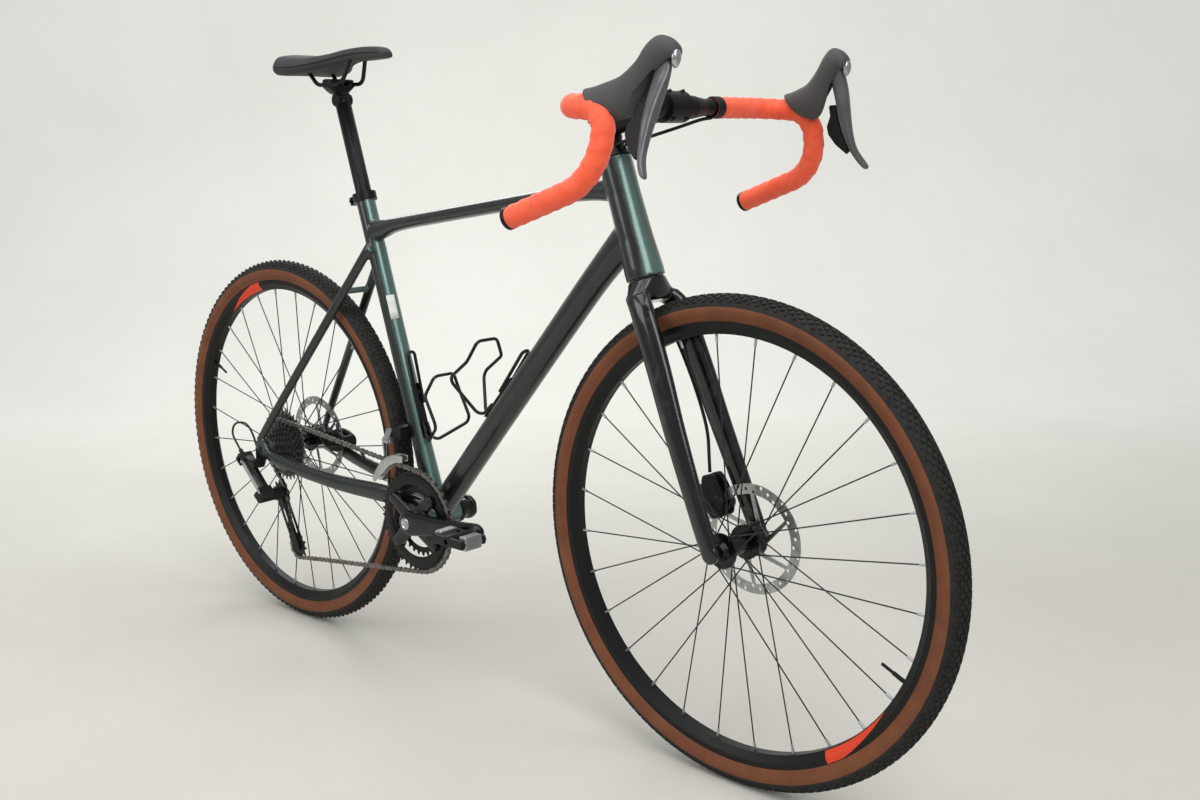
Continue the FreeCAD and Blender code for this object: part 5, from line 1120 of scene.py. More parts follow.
    def solids(self) -> list[Rings]:
        """Return the rings of every tube.

        Returns:
            Rings of each solid.
        """
        seat_top = BOTTOM_BRACKET + SEAT_UP * self.top_on_seat
        head_place = STEER_FOOT + STEER_UP * self.top_on_head
        heights = self.top_heights
        made = [self.tube(seat_top, head_place, self.top_shares, heights, heights, self.top_widths)]
        made.append(self.tube(BOTTOM_BRACKET + UP * self.down_rise, STEER_FOOT + STEER_UP * self.down_on_head,
                              self.down_shares, self.down_falls, self.down_heights, self.down_widths))
        head = [(STEER_FOOT + STEER_UP * (self.head_start + self.head_length * along), self.head_radius * size)
                for along, size in self.head_shares]
        made.append(Piece.round_rings(head, STEER_UP))
        seat = [(BOTTOM_BRACKET + SEAT_UP * along, radius) for along, radius in self.seat_sections]
        made.append(Piece.round_rings(seat, SEAT_UP))
        shell = [(BOTTOM_BRACKET + LEFT * (end * self.shell_half), self.shell_radius) for end in (-1, 1)]
        made.append(Piece.round_rings(shell, LEFT))
        bridge = []
        for side in Side:
            made += self.stays(side)
            top, foot = self.seatstay_ends(side)
            bridge.append((foot + (top - foot) * self.bridge_share, self.bridge_radius))
        made.append(Piece.round_rings(bridge, LEFT))
        return made

    def build(self) -> None:
        """Grow the tubes together and dress them."""
        made = self.grow("frame_skin", self.solids())
        Piece.finish(made, "frame", "frame_paint", PAINT, "head_tube", "top_tube", "down_tube", "seat_tube",
                     "chainstays", "seatstays")
        self.label()

    def label(self) -> None:
        """Stick the bare label on the right of the seat tube."""
        count = self.label_columns + 1
        points = []
        for along in self.label_rows:
            for step in range(count):
                turn = math.radians(self.label_start + self.label_turn * step / self.label_columns)
                points.append(BOTTOM_BRACKET + SEAT_UP * along
                              + (SEAT_AHEAD * math.cos(turn) + LEFT * math.sin(turn)) * self.label_radius)
        corners = [row * count + column for row in range(len(self.label_rows) - 1) for column in range(count - 1)]
        faces = [[corner, corner + 1, corner + count + 1, corner + count] for corner in corners]
        made = Piece.mesh("seat_tube_label", points, faces)
        made.modifiers.new("thickness", "SOLIDIFY").thickness = self.label_thickness
        Piece.finish(made, "frame", "frame_paint", LABEL)


@dataclass
class CrankSkin(GrownSkin):
    """Forged crank arms with the star that carries the rings, a ring plate and end caps."""

    voxel: float = 0.0011
    rounds: int = 9
    length: float = 0.1725
    heading: float = 5.0
    middle: float = 0.0665
    half_height: float = 0.0215
    half_thick: float = 0.0078
    boss: tuple[float, float, float] = (0.0437, 0.064, 0.0165)
    arm_shares: Sequence[Sequence[float]] = (
        (-0.112, 0.30, 0.45), (-0.095, 0.62, 0.80), (0.0, 1.0, 1.0), (0.22, 0.86, 1.0), (0.6, 0.68, 0.96),
        (0.92, 0.72, 0.9), (1.02, 0.70, 0.85), (1.075, 0.45, 0.70), (1.09, 0.22, 0.45))
    collar_radius: float = 0.0085
    collar_sides: tuple[float, float] = (0.066, 0.0779)
    star_turns: Sequence[float] = (38.0, 142.0, 218.0, 322.0)
    star_side: float = -0.0556
    star_half: float = 0.0042
    star_shares: Sequence[tuple[float, float]] = (
        (0.010, 0.0150), (0.034, 0.0130), (0.056, 0.0108), (0.066, 0.0088), (0.0695, 0.0045))
    plate_section: Sequence[tuple[float, float]] = (
        (0.0625, 0.0509), (0.0630, 0.0521), (0.0642, 0.0526), (0.0776, 0.0526), (0.0794, 0.0521), (0.0800, 0.0509))
    cap_section: Sequence[tuple[float, float]] = (
        (0.0730, 0.0100), (0.0752, 0.0100), (0.0758, 0.0092), (0.0756, 0.0074), (0.0748, 0.0068), (0.0748, 0.0010))

    def way(self, degrees: float) -> Vector:
        """Return the direction in the centre plane at a turn from straight ahead."""
        return Vector((math.cos(math.radians(degrees)), 0.0, math.sin(math.radians(degrees))))

    def bar(self, degrees: float, side: float, half: float, shares: Sequence[tuple[float, float, float]],
            power: float) -> Rings:
        """Make rings of one flat bar that starts near the crank's axis.

        Args:
            degrees: Heading of the bar.
            side: Side place of its middle.
            half: Half thickness.
            shares: Distance from the axis, half height and share of the thickness at each station.
            power: Squareness of its section.

        Returns:
            The rings.
        """
        way = self.way(degrees)
        across = way.cross(LEFT)
        stations = [(BOTTOM_BRACKET + way * reach + LEFT * side, across * tall, LEFT * (half * thick))
                    for reach, tall, thick in shares]
        return Piece.smooth_rings(stations, 8, Piece.square_points, power)

    def solids(self) -> list[Rings]:
        """Return the rings of arms, bosses, pedal collars and star.

        Returns:
            Rings of each solid.
        """
        made = []
        shares = [(reach * self.length, tall * self.half_height, thick) for reach, tall, thick in self.arm_shares]
        inner, outer, radius = self.boss
        for side in Side:
            heading = self.heading if side is Side.RIGHT else self.heading + 180.0
            made.append(self.bar(heading, side.value * self.middle, self.half_thick, shares, 3.4))
            made.append(Piece.round_rings([(BOTTOM_BRACKET + LEFT * (side.value * place), radius)
                                           for place in (inner, outer)], LEFT))
            pedal = BOTTOM_BRACKET + self.way(heading) * self.length
            made.append(Piece.round_rings([(pedal + LEFT * (side.value * place), self.collar_radius)
                                           for place in self.collar_sides], LEFT))
        star = [(reach, half, 1.0) for reach, half in self.star_shares]
        return made + [self.bar(self.heading + turn, self.star_side, self.star_half, star, 3.0)
                       for turn in self.star_turns]

    def build(self) -> None:
        """Grow the arms and turn the ring plate and the caps."""
        Piece.finish(self.grow("crank_skin", self.solids()), "crankset", "black_alloy", GLOSS_BLACK, "crank_arms")
        rings = [[BOTTOM_BRACKET + self.way(degrees) * reach - LEFT * side for reach, side in self.plate_section]
                 for degrees in range(0, 360, 3)]
        Piece.finish(Piece.mesh("ring_plate", *Piece.skin(rings, True)), "crankset", "black_alloy", SATIN_BLACK)
        for side in Side:
            cap = Piece.round_rings([(BOTTOM_BRACKET + LEFT * (side.value * place), radius)
                                     for place, radius in self.cap_section], LEFT)
            Piece.finish(Piece.mesh("crank_cap_" + side.word, *Piece.skin(cap)), "crankset", "silver_alloy", SILVER)


@dataclass
class CaliperSkin(GrownSkin):
    """Brake caliper: two rounded halves beside the disc, the bridge over it and the piston bosses."""

    name: str = "rear"
    body: str = "frame"
    axle: Vector = REAR_AXLE
    long: Vector = AHEAD
    high: Vector = UP
    disc_side: float = 0.055
    half_width: float = 0.0165
    start: float = 0.037
    end: float = 0.101
    rise: float = 0.002
    half_rise: float = 0.021
    piston: tuple[float, float] = (0.064, 0.010)
    bridge: tuple[float, float] = (0.0945, 0.004)
    bridge_half: tuple[float, float] = (0.0105, 0.0062)
    bridge_share: float = 0.8
    half_gap: float = 0.0048
    piston_proud: float = 0.0012
    piston_radii: tuple[float, float] = (0.0118, 0.0112)
    shares: Sequence[tuple[float, float]] = (
        (0.0, 0.45), (0.08, 0.78), (0.34, 1.0), (0.66, 0.94), (0.92, 0.62), (1.0, 0.36))
    voxel: float = 0.001
    rounds: int = 8

    def place(self, along: float, rise: float, side: float) -> Vector:
        """Return a point from the axle along the caliper, across it and to the side of the disc."""
        return self.axle + self.long * along + self.high * rise + LEFT * (self.disc_side + side)

    def solids(self) -> list[Rings]:
        """Return the rings of halves, piston bosses and bridge.

        Returns:
            Rings of each solid.
        """
        made = []
        half = (self.half_width - self.half_gap) / 2
        length = self.end - self.start
        for side in Side:
            side_at = side.value * (self.half_gap + half)
            stations = []
            for share, size in self.shares:
                middle = self.place(self.start + share * length, self.rise, side_at)
                stations.append((middle, self.high * (self.half_rise * size), LEFT * half))
            made.append(Piece.smooth_rings(stations, 7, Piece.square_points, 3.6))
            reaches = (self.half_gap, self.half_width + self.piston_proud)
            made.append(Piece.round_rings([(self.place(*self.piston, side.value * reach), radius)
                                           for reach, radius in zip(reaches, self.piston_radii)], LEFT))
        tall, broad = self.bridge_half
        side_at = self.half_width * self.bridge_share
        across = [(self.place(*self.bridge, way * side_at), self.high * tall, self.long * broad) for way in (-1, 0, 1)]
        made.append(Piece.smooth_rings(across, 6, Piece.square_points, 3.0))
        return made

    def build(self) -> None:
        """Grow the caliper and dress it."""
        Piece.finish(self.grow(self.name + "_caliper_skin", self.solids()), self.body, "black_alloy", SATIN_BLACK,
                     self.name + "_caliper")


@dataclass
class FrontCage:
    """Slim cage of the front derailleur: two curved plates, their bridges and the lug of the link."""

    ring_side: float = -0.0495
    half_gap: float = 0.0060
    half_plate: float = 0.0008
    line: Sequence[tuple[float, float, float]] = (
        (-23.0, 104.0, 5.0), (-30.0, 104.5, 6.6), (-46.0, 102.5, 7.4), (-62.0, 96.0, 8.0), (-78.0, 85.0, 8.4),
        (-93.0, 70.0, 7.2), (-103.0, 58.5, 4.6), (-106.0, 55.0, 2.6))
    bridges: Sequence[tuple[float, float]] = ((-52.0, 106.0), (-101.0, 63.0))
    bridge_half: tuple[float, float] = (0.0042, 0.0012)
    lug_ahead: float = -86.0
    lug_half: float = 0.0016
    lug_rows: Sequence[tuple[float, float, float]] = (
        (-0.0432, 84.0, 0.0012), (-0.0426, 104.0, 0.0030), (-0.0428, 128.0, 0.0052), (-0.0428, 133.5, 0.0034))
    pin_ends: tuple[float, float] = (-87.0, -69.6)
    pin_place: tuple[float, float] = (-0.043, 128.0)
    pin_radius: float = 0.0025

    def place(self, ahead: float, side: float, rise: float) -> Vector:
        """Return a point from the crank's axis in millimetres ahead and up, and a side place in metres."""
        return BOTTOM_BRACKET + Vector((ahead / 1000, side, rise / 1000))

    def build(self) -> None:
        """Build plates, bridges and lug as one piece."""
        solids = []
        for side in Side:
            at = self.ring_side + side.value * self.half_gap
            stations = []
            for index, (ahead, rise, half) in enumerate(self.line):
                before = self.line[max(index - 1, 0)]
                after = self.line[min(index + 1, len(self.line) - 1)]
                run = Vector((after[0] - before[0], 0.0, after[1] - before[1])).normalized()
                stations.append((self.place(ahead, at, rise), run.cross(LEFT) * (half / 1000), LEFT * self.half_plate))
            solids.append(Piece.smooth_rings(stations, 5, Piece.square_points, 4.0))
        long, thin = self.bridge_half
        for ahead, rise in self.bridges:
            ends = [(self.place(ahead, self.ring_side + way * self.half_gap, rise), AHEAD * long, UP * thin)
                    for way in (-1, 1)]
            solids.append(Piece.smooth_rings(ends, 4, Piece.square_points, 4.0))
        lug = [(self.place(self.lug_ahead, side, rise), AHEAD * self.lug_half, LEFT * half)
               for side, rise, half in self.lug_rows]
        solids.append(Piece.smooth_rings(lug, 6, Piece.square_points, 3.0))
        pin = [(self.place(ahead, *self.pin_place), self.pin_radius) for ahead in self.pin_ends]
        solids.append(Piece.round_rings(pin, AHEAD))
        made = Piece.mesh("front_cage", *Piece.joined(solids))
        Piece.finish(made, "fd_cage_body", "silver_alloy", SILVER, "fd_cage")


@dataclass
class SeatPost(GrownSkin):
    """Seatpost with its forged head, the cradle and cap on the rails, and two bolts."""

    voxel: float = 0.001
    rounds: int = 8
    foot: float = 0.383
    top: float = 0.738
    radius: float = 0.0136
    rail: Vector = Vector((-0.32651, 0.0, 1.01401))
    bolt_ahead: float = 0.0122
    bolt_rows: Sequence[tuple[float, float]] = ((-0.0215, 0.0042), (-0.017, 0.0042), (0.0115, 0.0028))
    neck_rows: Sequence[tuple[float, float]] = ((-0.020, 0.0128), (0.004, 0.0128))
    tube_end: float = 0.007
    barrel_half: float = 0.015
    barrel_radius: float = 0.0112
    cradle_rows: Sequence[Sequence[float]] = (
        (-27.0, 0.0, 4.5, 11.0), (-22.0, -2.0, 6.5, 14.0), (-9.0, -8.0, 8.5, 16.0),
        (9.0, -8.0, 8.5, 16.0), (22.0, -2.0, 6.5, 14.0), (27.0, 0.0, 4.5, 11.0))
    cap_rows: Sequence[tuple[float, float]] = (
        (-0.0265, 0.008), (-0.022, 0.0125), (0.0, 0.0155), (0.022, 0.0125), (0.0265, 0.008))
    cap_rise: float = 0.006
    cap_half: float = 0.0032

    def solids(self) -> list[Rings]:
        """Return the rings of neck, barrel, cradle, cap and bolts.

        Returns:
            Rings of each solid.
        """
        head = BOTTOM_BRACKET + SEAT_UP * self.top
        neck = [(BOTTOM_BRACKET + SEAT_UP * (self.top + along), radius) for along, radius in self.neck_rows]
        made = [Piece.round_rings(neck, SEAT_UP)]
        barrel = [(head + LEFT * (way * self.barrel_half), self.barrel_radius) for way in (-1, 1)]
        made.append(Piece.round_rings(barrel, LEFT))
        cradle = [(self.rail + Vector((0, side / 1000, drop / 1000)), AHEAD * (half / 1000), UP * (deep / 1000))
                  for side, drop, deep, half in self.cradle_rows]
        made.append(Piece.smooth_rings(cradle, 7, Piece.square_points, 3.0))
        cap = [(self.rail + Vector((0, side, self.cap_rise)), AHEAD * half, UP * self.cap_half)
               for side, half in self.cap_rows]
        made.append(Piece.smooth_rings(cap, 7, Piece.square_points, 3.0))
        for way in (-1, 1):
            place = self.rail + AHEAD * (way * self.bolt_ahead)
            made.append(Piece.round_rings([(place + UP * rise, radius) for rise, radius in self.bolt_rows], UP))
        return made

    def build(self) -> None:
        """Build the tube and grow its head."""
        ends = (self.foot, self.top - self.tube_end)
        tube = Piece.round_rings([(BOTTOM_BRACKET + SEAT_UP * along, self.radius) for along in ends], SEAT_UP)
        Piece.finish(Piece.mesh("post_tube", *Piece.skin(tube)), "seat", "black_alloy", SATIN_BLACK, "seatpost")
        Piece.finish(self.grow("post_head", self.solids()), "seat", "black_alloy", SATIN_BLACK)


@dataclass
class Wheel:
    """One wheel: tyre with knobs and tan flanks, and finishes for its metal."""

    name: str
    centre: Vector
    wedge_at: float
    radius: float = 0.351
    half_width: float = 0.020
    bead_side: float = 0.0152
    bead_reach: float = 0.3145
    flank_reach: float = 0.3345
    knob_height: float = 0.0022
    around: int = 288
    columns: Sequence[float] = (-52.0, -37.0, -22.0, -7.4, 7.4, 22.0, 37.0, 52.0)
    edge_lean: float = 50.0
    knob_halves: tuple[float, float] = (0.0046, 0.0056)
    knob_turn: float = math.radians(10.4)
    knob_root: float = 0.0006
    knob_top_share: float = 0.74
    casing_rings: int = 180

    def at(self, reach: float, side: float, turn: float) -> Vector:
        """Return the point at a distance from the axle, a side place and a turn."""
        return self.centre + Vector((reach * math.cos(turn), side, reach * math.sin(turn)))

    def flank(self) -> SidewallFinish:
        """Return the tan finish of this wheel's flanks."""
        return SidewallFinish(self.name + "_tan_flank", srgb(104, 60, 36), srgb(122, 72, 45), (0.6, 0.75), 0.0, 30.0,
                              900.0, 0.00012, centre=self.centre)

    def casing(self) -> list[tuple[float, float]]:
        """Return side place and distance from the axle of the points around the casing's section.

        Returns:
            The points of the section.
        """
        profile = [(self.bead_side, self.bead_reach)]
        for step in range(33):
            degrees = -38.0 + 256.0 * step / 32
            lean = 90.0 - abs(90.0 - degrees)
            size = self.half_width - self.knob_height * min(1.0, max(0.0, (lean + 2.0) / 40.0))
            turn = math.radians(degrees)
            profile.append((size * math.cos(turn), self.radius - self.half_width + size * math.sin(turn)))
        return profile + [(-self.bead_side, self.bead_reach)]

    def tyre(self) -> None:
        """Build casing and knobs as one piece."""
        profile = self.casing()
        count = len(profile)
        turns = [2 * math.pi * k / self.casing_rings for k in range(self.casing_rings)]
        rings = [[self.at(reach, side, turn) for side, reach in profile] for turn in turns]
        points, faces = Piece.skin(rings, True)
        low = [reach < self.flank_reach for _, reach in profile]
        tan = [low[index % count] and low[(index + 1) % count] for index in range(len(faces))]
        for row in range(self.around):
            for column, lean in enumerate(self.columns):
                if row % 2 == column % 2:
                    self.knob(points, faces, row, lean)
        made = Piece.mesh(self.name + "_tyre_dressed", points, faces, False)
        made.data.materials.append(TREAD.material())
        made.data.materials.append(self.flank().material())
        total = len(made.data.polygons)
        made.data.polygons.foreach_set("material_index", [int(k < len(tan) and tan[k]) for k in range(total)])
        made.data.polygons.foreach_set("use_smooth", [k < len(tan) for k in range(total)])
        Piece.finish(made, self.name + "_wheel", "tyre_rubber", TREAD, self.name + "_tyre")

    def knob(self, points: list[Vector], faces: list[list[int]], row: int, lean: float) -> None:
        """Add one diamond knob to the tread.

        Args:
            points: Corner places, grown by this call.
            faces: Faces, grown by this call.
            row: Number of the row around the wheel.
            lean: Place across the tread in degrees from the crown.
        """
        long_half = self.knob_halves[0] if abs(lean) > self.edge_lean else self.knob_halves[1]
        wide_half = self.knob_turn
        turn = 2 * math.pi * row / self.around
        start = len(points)
        round_at = self.radius - self.half_width
        root = self.half_width - self.knob_height - self.knob_root
        for top, share in ((root, 1.0), (self.half_width, self.knob_top_share)):
            for along, side in ((long_half, 0.0), (0.0, wide_half), (-long_half, 0.0), (0.0, -wide_half)):
                across = math.radians(lean) + side * share
                reach = round_at + top * math.cos(across)
                points.append(self.at(reach, top * math.sin(across), turn + along * share / self.radius))
        for first, second in ((0, 1), (1, 2), (2, 3), (3, 0)):
            faces.append([start + first, start + second, start + second + 4, start + first + 4])
        faces.append([start + 4, start + 5, start + 6, start + 7])
        faces.append([start + 3, start + 2, start + 1, start])

    def build(self, dress: Callable[[str, Finish], None]) -> None:
        """Build the tyre and dress the wheel's nodes.

        Args:
            dress: Call that gives a node its finish.
        """
        self.tyre()
        dress(self.name + "_rim", RimFinish(self.name + "_rim_black", srgb(11, 11, 11), srgb(18, 18, 18), (0.36, 0.5),
                                            0.2, centre=self.centre, middle=self.wedge_at))
        dress(self.name + "_spokes", SpokeFinish(self.name + "_spoke_wire", srgb(42, 42, 43), srgb(64, 64, 65),
                                                 (0.3, 0.4), 0.85, centre=self.centre))
        dress(self.name + "_rotor", RotorFinish(self.name + "_disc_steel", srgb(150, 150, 150), srgb(186, 186, 186),
                                                (0.22, 0.38), 0.95, 60.0, centre=self.centre, relief=0.00003))
        dress(self.name + "_hub", GLOSS_BLACK)


@dataclass
class BarWrap:
    """Wound tape on both drops with overlapping edges and dark end bands."""

    radius: float = 0.0150
    step_height: float = 0.0012
    pitch: float = 0.0195
    bends: Sequence[float] = (0.036, 0.034, 0.070)
    corners: Sequence[Colour] = ((0.0, 0.086, 0.0), (0.0, 0.215, 0.0), (0.080, 0.21694, -0.00776),
                                 (0.076, 0.23774, -0.09121), (-0.059, 0.24911, -0.13681))
    bend_steps: int = 12
    spacing: float = 0.002
    overlap: float = 0.82
    band_side: float = 0.105
    band_radius: float = 0.0156
    band_length: float = 0.018
    band_edge: float = 0.0022
    band_round: float = 0.0011

    def line(self, side: Side) -> list[Vector]:
        """Return close points along the bar's bent middle line.

        Args:
            side: Which drop.

        Returns:
            Points about 2 mm apart.
        """
        corners = [BAR_CENTRE + Vector((x, y * side.value, z)) for x, y, z in self.corners]
        points = [corners[0]]
        for before, corner, after, radius in zip(corners, corners[1:], corners[2:], self.bends):
            back = (before - corner).normalized()
            on = (after - corner).normalized()
            half = back.angle(on) / 2
            reach = radius / math.tan(half)
            middle = corner + (back + on).normalized() * (radius / math.sin(half))
            start = corner + back * reach - middle
            turn = math.pi - 2 * half
            axis = start.cross(corner + on * reach - middle).normalized()
            for step in range(self.bend_steps + 1):
                points.append(middle + Matrix.Rotation(turn * step / self.bend_steps, 3, axis) @ start)
        points.append(corners[-1])
        close = [points[0]]
        for first, second in zip(points, points[1:]):
            count = max(1, round((second - first).length / self.spacing))
            close += [first + (second - first) * (k / count) for k in range(1, count + 1)]
        return close

    def sweep(self, name: str, line: Sequence[Vector], size: Callable[[float, float], float]) -> bpy.types.Object:
        """Sweep a ring whose radius changes along and around a line.

        Args:
            name: Name of the piece.
            line: Points along the middle.
            size: Radius from the distance along and the turn.

        Returns:
            The swept piece.
        """
        rings = []
        gone = 0.0
        normal = UP
        for index, place in enumerate(line):
            ahead = (line[min(index + 1, len(line) - 1)] - line[max(index - 1, 0)]).normalized()
            normal = (normal - ahead * normal.dot(ahead)).normalized()
            across = ahead.cross(normal)
            if index:
                gone += (place - line[index - 1]).length
            ring = []
            for step in range(Piece.ring_points):
                turn = 2 * math.pi * step / Piece.ring_points
                ring.append(place + (normal * math.cos(turn) + across * math.sin(turn)) * size(gone, turn))
            rings.append(ring)
        return Piece.mesh(name, *Piece.skin(rings))

    def build(self) -> None:
        """Wrap both drops and close their inner ends with bands."""
        for side in Side:
            line = self.line(side)

            def wound(gone: float, turn: float) -> float:
                """Radius of the overlapping turns."""
                place = (gone / self.pitch + side.value * turn / (2 * math.pi)) % 1.0
                rise = place / self.overlap if place < self.overlap else (1 - place) / (1 - self.overlap)
                return self.radius - self.step_height * (0.7 - rise)

            Piece.finish(self.sweep("bar_wrap_" + side.word, line, wound), "steering", "bar_wrap", GRIP, "bar_tape")
            band = [place for place in line if abs(place.y) < self.band_side]

            def flat(gone: float, turn: float) -> float:
                """Radius of the band, rounded at its two edges."""
                near = max(0.0, 1 - gone / self.band_edge)
                far = max(0.0, 1 - (self.band_length - gone) / self.band_edge)
                return self.band_radius - self.band_round * (near + far)

            Piece.finish(self.sweep("wrap_band_" + side.word, band, flat), "steering", "black_plastic", BAND)


@dataclass
class HoodSkin:
    """Rubber hoods with a slanted edge on the bar, a waist, a tall horn and the slot of the blade."""

    bar_half: float = 0.215
    start: float = 0.030
    length: float = 0.132
    rise: float = 0.057
    inset: float = 0.033
    half_width: float = 0.0175
    half_height: float = 0.030
    shares: Sequence[Sequence[float]] = (
        (0.20, 0.02, 0.12, 0.96, 0.55, 0.92), (0.215, 0.02, 0.13, 1.02, 0.585, 0.92),
        (0.29, 0.02, 0.21, 1.03, 0.64, 0.80), (0.375, 0.04, 0.30, 1.02, 0.73, 0.56),
        (0.50, 0.14, 0.50, 0.99, 0.80, 0.30), (0.62, 0.38, 0.70, 0.96, 0.92, 0.10),
        (0.705, 0.66, 0.80, 0.95, 0.99, 0.0), (0.80, 0.91, 0.91, 0.93, 0.79, 0.0),
        (0.90, 1.01, 0.97, 0.85, 0.51, 0.0), (0.965, 0.99, 1.0, 0.66, 0.34, 0.0),
        (0.99, 0.97, 1.0, 0.48, 0.22, 0.0), (1.0, 0.96, 1.0, 0.22, 0.09, 0.0))
    pin: Colour = (0.141, 0.185, 0.042)
    slots: Sequence[tuple[float, float]] = ((-0.0105, 0.0067), (0.0100, 0.0095))
    slot_back: float = 0.0115
    slot_slope: float = 0.364
    slot_slant: float = math.radians(22.0)
    reach: float = 0.132
    sharp: float = math.radians(42.0)

    def cutter(self, side: Side, top: float, half: float) -> bpy.types.Object:
        """Build the block that cuts the blade's slot.

        Args:
            side: Which hood.
            top: Start of the slot below the pin.
            half: Half width of the slot.

        Returns:
            The block.
        """
        x, y, z = self.pin
        across, rise = math.cos(self.slot_slant), math.sin(self.slot_slant)
        out = Vector((0, side.value * across, rise))
        down = Vector((0, side.value * rise, -across))
        pin = BAR_CENTRE + Vector((x, side.value * y, z))
        back = self.slot_back + (top - self.slots[0][0]) * self.slot_slope
        corner = pin - AHEAD * back + down * top
        foot = corner + down * self.reach
        on = AHEAD * self.reach
        edge = [corner, corner + on, foot + on, foot - on * self.slot_slope]
        return Piece.mesh("slot", *Piece.skin([[place + out * way for place in edge] for way in (-half, half)]), False)

    def hood(self, side: Side) -> bpy.types.Object:
        """Build one hood and cut its slot.

        Args:
            side: Which hood.

        Returns:
            The hood.
        """
        stations = []
        for along, rise, inset, wide, tall, lean in self.shares:
            across = side.value * (self.bar_half - inset * self.inset)
            middle = BAR_CENTRE + Vector((self.start + along * self.length, across, rise * self.rise))
            stations.append((middle, (UP - AHEAD * lean) * (tall * self.half_height), LEFT * (wide * self.half_width)))
        made = Piece.mesh("hood_" + side.word, *Piece.skin(Piece.smooth_rings(stations, 8, 56)))
        blocks = [self.cutter(side, top, half) for top, half in self.slots]
        for block in blocks:
            cut = made.modifiers.new("slot", "BOOLEAN")
            cut.operation = "DIFFERENCE"
            cut.object = block
        Piece.baked(made).data.set_sharp_from_angle(angle=self.sharp)
        for block in blocks:
            bpy.data.objects.remove(block)
        return made

    def build(self) -> None:
        """Build both hoods."""
        for side in Side:
            Piece.finish(self.hood(side), "steering", "hood_rubber", HOOD_RUBBER, "lever_hoods")


@dataclass
class LeverBlades:
    """Brake blades, broad at the pin, slim at the fingers and flared at the tip."""

    pin: Colour = (0.56465, 0.185, 0.99102)
    out_slant: Colour = (0.0, 0.927, 0.375)
    length: float = 0.143
    shares: Sequence[Sequence[float]] = (
        (-0.06, -5.0, 6.0, 4.0, 0.0), (-0.045, -8.0, 10.0, 5.4, 0.0), (0.0, -9.6, 12.4, 6.0, 0.0),
        (0.08, -9.2, 13.8, 6.2, 0.0), (0.20, -7.8, 12.8, 8.2, 0.4), (0.36, -8.2, 9.8, 8.8, 0.8),
        (0.52, -8.0, 7.2, 8.0, 0.8), (0.66, -5.8, 6.2, 6.6, 0.8), (0.79, -2.0, 7.6, 5.8, 1.6),
        (0.88, 3.0, 12.0, 5.8, 2.8), (0.945, 8.0, 16.6, 5.6, 3.7), (0.985, 12.0, 19.0, 4.6, 4.1),
        (1.0, 15.0, 18.4, 2.4, 4.2))

    def blade(self, side: Side) -> bpy.types.Object:
        """Build one blade.

        Args:
            side: Which lever.

        Returns:
            The blade.
        """
        x, y, z = self.pin
        pin = Vector((x, side.value * y, z))
        out = Vector((0, side.value * self.out_slant[1], self.out_slant[2]))
        down = Vector((0, side.value * self.out_slant[2], -self.out_slant[1]))
        rows = []
        for along, rear, front, thick, flare in self.shares:
            middle = pin + down * (along * self.length) + AHEAD * ((front + rear) / 2000) + out * (flare / 1000)
            rows.append((middle, AHEAD * ((front - rear) / 2000), out * (thick / 1000)))
        rings = Piece.smooth_rings(rows, 5, Piece.square_points, 2.7)
        return Piece.mesh("brake_blade_" + side.word, *Piece.skin(rings))

    def build(self) -> None:
        """Build both blades."""
        for side in Side:
            Piece.finish(self.blade(side), side.word + "_brake", "silver_alloy", GUNMETAL, side.word + "_brake_lever")


@dataclass
class LeverCaps:
    """Polished caps on the front of both lever hoods."""

    place: Colour = (0.5815, 0.1835, 0.9965)
    half_tall: float = 0.0112
    half_wide: float = 0.0074
    proud: float = 0.0062
    lean: float = math.radians(8.0)
    count: int = 32
    dome: Sequence[tuple[float, float]] = (
        (0.0, 0.94), (0.16, 1.0), (0.42, 0.97), (0.68, 0.84), (0.88, 0.62), (0.97, 0.36), (1.0, 0.1))
    widening: float = 0.2

    def cap(self, side: Side) -> bpy.types.Object:
        """Build one domed cap, narrower at its foot.

        Args:
            side: Which lever.

        Returns:
            The cap.
        """
        x, y, z = self.place
        centre = Vector((x, side.value * y, z))
        out = Vector((math.cos(self.lean), 0, -math.sin(self.lean)))
        tall = Vector((math.sin(self.lean), 0, math.cos(self.lean)))
        rings = []
        for rise, size in self.dome:
            ring = []
            for step in range(self.count):
                turn = 2 * math.pi * step / self.count
                high = math.cos(turn)
                wide = math.sin(turn) * (1.0 + self.widening * high)
                ring.append(centre + out * (self.proud * rise) + tall * (self.half_tall * size * high)
                            + LEFT * (self.half_wide * size * wide))
            rings.append(ring)
        return Piece.mesh("lever_cap_" + side.word, *Piece.skin(rings))

    def build(self) -> None:
        """Build both caps."""
        for side in Side:
            Piece.finish(self.cap(side), "steering", "silver_alloy", SILVER)


